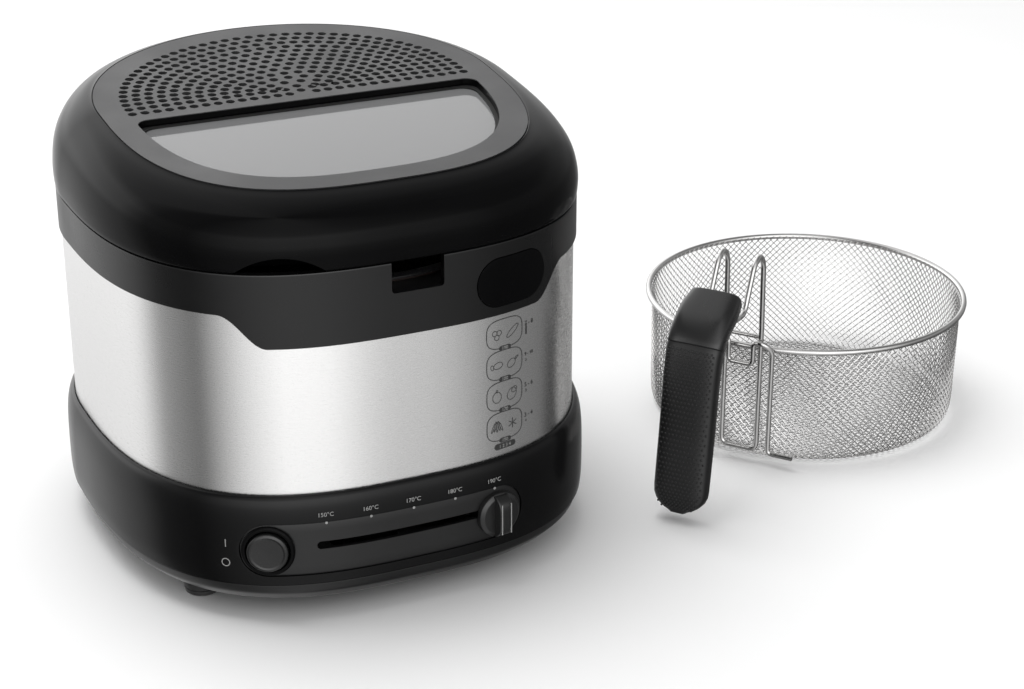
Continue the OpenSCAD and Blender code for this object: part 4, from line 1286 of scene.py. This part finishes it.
def food_icons(left, right, heights):
    """Outlines of the eight small foods, and the bars of the frost star."""
    a, b, c, z = heights
    icons = [ellipse(left + 1.7 * math.cos(t), a + 1.7 * math.sin(t), 1.5, 1.5) for t in (0.5, 2.6, 4.7)]
    icons += [
        ellipse(right, a, 5.0, 1.5, 38),
        ellipse(left + 0.8, b, 3.0, 1.9, 10), ellipse(left - 3.1, b - 0.5, 0.9, 1.5, 10),
        ellipse(right - 0.8, b - 0.6, 3.0, 2.2, 35), ellipse(right + 2.7, b + 1.8, 1.5, 0.5, 35),
        ellipse(left, c - 0.5, 2.9, 3.2), ellipse(left, c + 3.2, 0.5, 0.8),
        ellipse(right - 0.5, c - 0.6, 3.0, 3.6, -35), ellipse(right + 1.2, c + 1.6, 2.0, 1.5, 35)]
    icons += [ellipse(left + i * 1.25, z + 0.6 * (i % 2), 0.5, 3.0, 12 * i) for i in (-2, -1, 0, 1, 2)]
    bars = [[(right + way * 3 * math.cos(t), z + way * 3 * math.sin(t)) for way in (-1, 1)]
            for t in (0.52, 1.57, 2.62)]
    return icons, bars


def make_food_marks():
    line = band_line
    s = line.along(FRAME_X)
    heights = [FRAME_Z - FRAME_PITCH * k for k in range(4)]
    frames = [ellipse(s, z, 12.1, 8.4, 0, 64, 0.62) for z in heights]
    icons, bars = food_icons(s - 5.4, s + 5.2, heights)

    def pill(name, z, half, r, flats):
        columns = stadium_columns(s - half, s + half, z, r, 6, flats)
        return front_solid(name, line, columns, -0.3, 0.22, "dark_print", 2)

    def pale(name, text, z, width):
        return print_text(name, text, line, s, z, width, "white_print", h=0.22, thick=0.05)

    def dark(name, text, side, z, width):
        return print_text(name, text, line, s + side, z, width, "dark_print", h=0.1, thick=0.08)

    pills = [pill(f"pill_{k}", z - 8.5, 2.6, 1.35, 6) for k, z in enumerate(heights)]
    pills.append(pill("pill_low", PILL_Z, 5.4, 1.75, 8))
    texts = [pale(f"pill_text_{k}", text, z - 8.5, 3.6)
             for k, (text, z) in enumerate(zip(("190", "180", "170", "190"), heights))]
    texts.append(pale("pill_text_low", "1 2 3 4", PILL_Z, 7.4))
    minutes = []
    for k, (text, z) in enumerate(zip(("7 - 8", "9 - 10", "5 - 6", "3 - 4"), heights)):
        minutes.append(dark(f"minutes_{k}", text, 17.4, z + 1.6, 6.4))
        minutes.append(dark(f"portion_{k}", f"{k + 1}", 15.2, z - 1.9, 0.9))
    for o in (strokes("food_frames", line, frames, 0.24, "dark_print", True, 0.08),
              strokes("food_icons", line, icons, 0.2, "dark_print", True, 0.06),
              strokes("frost_icon", line, bars, 0.3, "dark_print", False),
              join("food_pills", *pills), join("pill_numbers", *texts), join("minute_numbers", *minutes)):
        done(o, "housing", "brushed_band")


# ---------- carried-over CAD nodes ----------
def dress_cad_nodes():
    slots = {s["node"]: s["material_slot"] for s in frame["record"]["subparts"]}
    for name, o in nodes.items():
        o.data.materials.clear()
        o.data.materials.append(M[slots[name]])


# ---------- studio ----------
def area_light(name, place, aim, size, radiance):
    """Square lamp that gloss doesn't mirror."""
    data = bpy.data.lights.new(name, "AREA")
    data.size = size
    data.energy = radiance * math.pi * size * size
    o = link(name, data)
    o.location = place
    o.rotation_euler = (Vector(aim) - Vector(place)).to_track_quat("-Z", "Y").to_euler()
    o.visible_glossy = False


def make_world():
    """White behind the object; where gloss mirrors it, a studio of light and dark upright panels."""
    world = bpy.data.worlds.new("studio")
    bpy.context.scene.world = world
    world.use_nodes = True
    t = world.node_tree

    def node(kind, *inputs, **settings):
        n = t.nodes.new(kind)
        for key, value in settings.items():
            setattr(n, key, value)
        for socket, value in zip(n.inputs, inputs):
            if isinstance(value, bpy.types.NodeSocket):
                t.links.new(value, socket)
            elif value is not None:
                socket.default_value = value
        return n

    def ramp(value, stops):
        n = node("ShaderNodeValToRGB", value)
        e = n.color_ramp.elements
        while len(e) < len(stops):
            e.new(0.5)
        for k, (place, level) in zip(e, stops):
            k.position = place
            k.color = (level, level, level, 1)
        return n.outputs["Color"]

    way = node("ShaderNodeSeparateXYZ", t.nodes.new("ShaderNodeTexCoord").outputs["Generated"]).outputs
    front = node("ShaderNodeMath", way["Y"], -1.0, operation="MULTIPLY").outputs[0]
    bearing = node("ShaderNodeMath", way["X"], front, operation="ARCTAN2").outputs[0]
    turn = node("ShaderNodeMath", bearing, 1 / (2 * math.pi), 0.5, operation="MULTIPLY_ADD").outputs[0]
    tall = node("ShaderNodeMath", way["Z"], 0.5, 0.5, operation="MULTIPLY_ADD").outputs[0]
    panels = ramp(turn, [(0.0, 0.95), (0.15, 1.0), (0.2, 0.3), (0.28, 0.15), (0.37, 0.8), (0.44, 1.15),
                         (0.51, 1.1), (0.56, 0.62), (0.63, 0.22), (0.75, 0.16), (0.86, 0.2), (0.95, 0.7),
                         (1.0, 0.95)])
    height = ramp(tall, [(0.0, 0.6), (0.3, 0.75), (0.48, 1.3), (0.56, 2.2), (0.72, 2.6), (0.8, 1.5),
                         (1.0, 1.0)])
    mirror = node("ShaderNodeVectorMath", panels, height, operation="MULTIPLY").outputs[0]
    rays = t.nodes.new("ShaderNodeLightPath").outputs
    held = node("ShaderNodeBackground", (1, 1, 1, 1), 0.72).outputs[0]
    for ray, colour in (("Is Glossy Ray", mirror), ("Is Camera Ray", (1, 1, 1, 1))):
        shade = node("ShaderNodeBackground", colour, 1.0).outputs[0]
        held = node("ShaderNodeMixShader", rays[ray], held, shade).outputs[0]
    t.links.new(held, t.nodes["World Output"].inputs["Surface"])


def make_studio():
    floor = bpy.data.meshes.new("floor")
    r = 4.0
    floor.from_pydata([(-r, -r, 0), (r, -r, 0), (r, r, 0), (-r, r, 0)], [], [(0, 1, 2, 3)])
    s = Shader("pale_floor", (0.86, 0.86, 0.86), 0.7)
    s.vary("Base Color", s.noise(1.5, 2), 0.3, 0.7, (0.85, 0.85, 0.85), (0.875, 0.875, 0.875))
    floor.materials.append(s.m)
    o = link("floor", floor)
    o.visible_glossy = False
    make_world()
    area_light("key_light", (-0.45, 0.6, 2.3), (0.05, 0.0, 0.0), 1.7, 4.6)
    bpy.context.scene.view_settings.view_transform = "Standard"


def make_camera():
    azimuth, elevation = math.radians(-25), math.radians(23.31)
    distance = 1.2818
    target = Vector((0.09832, -0.05728, 0.09897))
    data = bpy.data.cameras.new("camera")
    data.sensor_width = 36
    data.lens = 36 * 2200 / 1024
    data.clip_end = 50
    o = link("camera", data)
    offset = Vector((math.sin(azimuth) * math.cos(elevation), -math.cos(azimuth) * math.cos(elevation),
                     math.sin(elevation)))
    o.location = target + offset * distance + MOVE * MM
    o.rotation_euler = (target + MOVE * MM - o.location).to_track_quat("-Z", "Y").to_euler()
    bpy.context.scene.camera = o


make_camera()
make_studio()
dress_cad_nodes()
make_base_tray()
make_feet()
make_base_cover()
make_control_panel()
make_button()
make_knob()
make_steel_wrap()
make_upper_ring()
make_notch_sill()
make_bowl_deck()
make_hinge()
make_bowl()
make_lid_cover()
make_top_plate()
make_lid_gasket()
make_release_pad()
make_weave()
make_floor_weave()
make_basket_wires()
make_handle()
make_grip()
make_scale_marks()
make_food_marks()
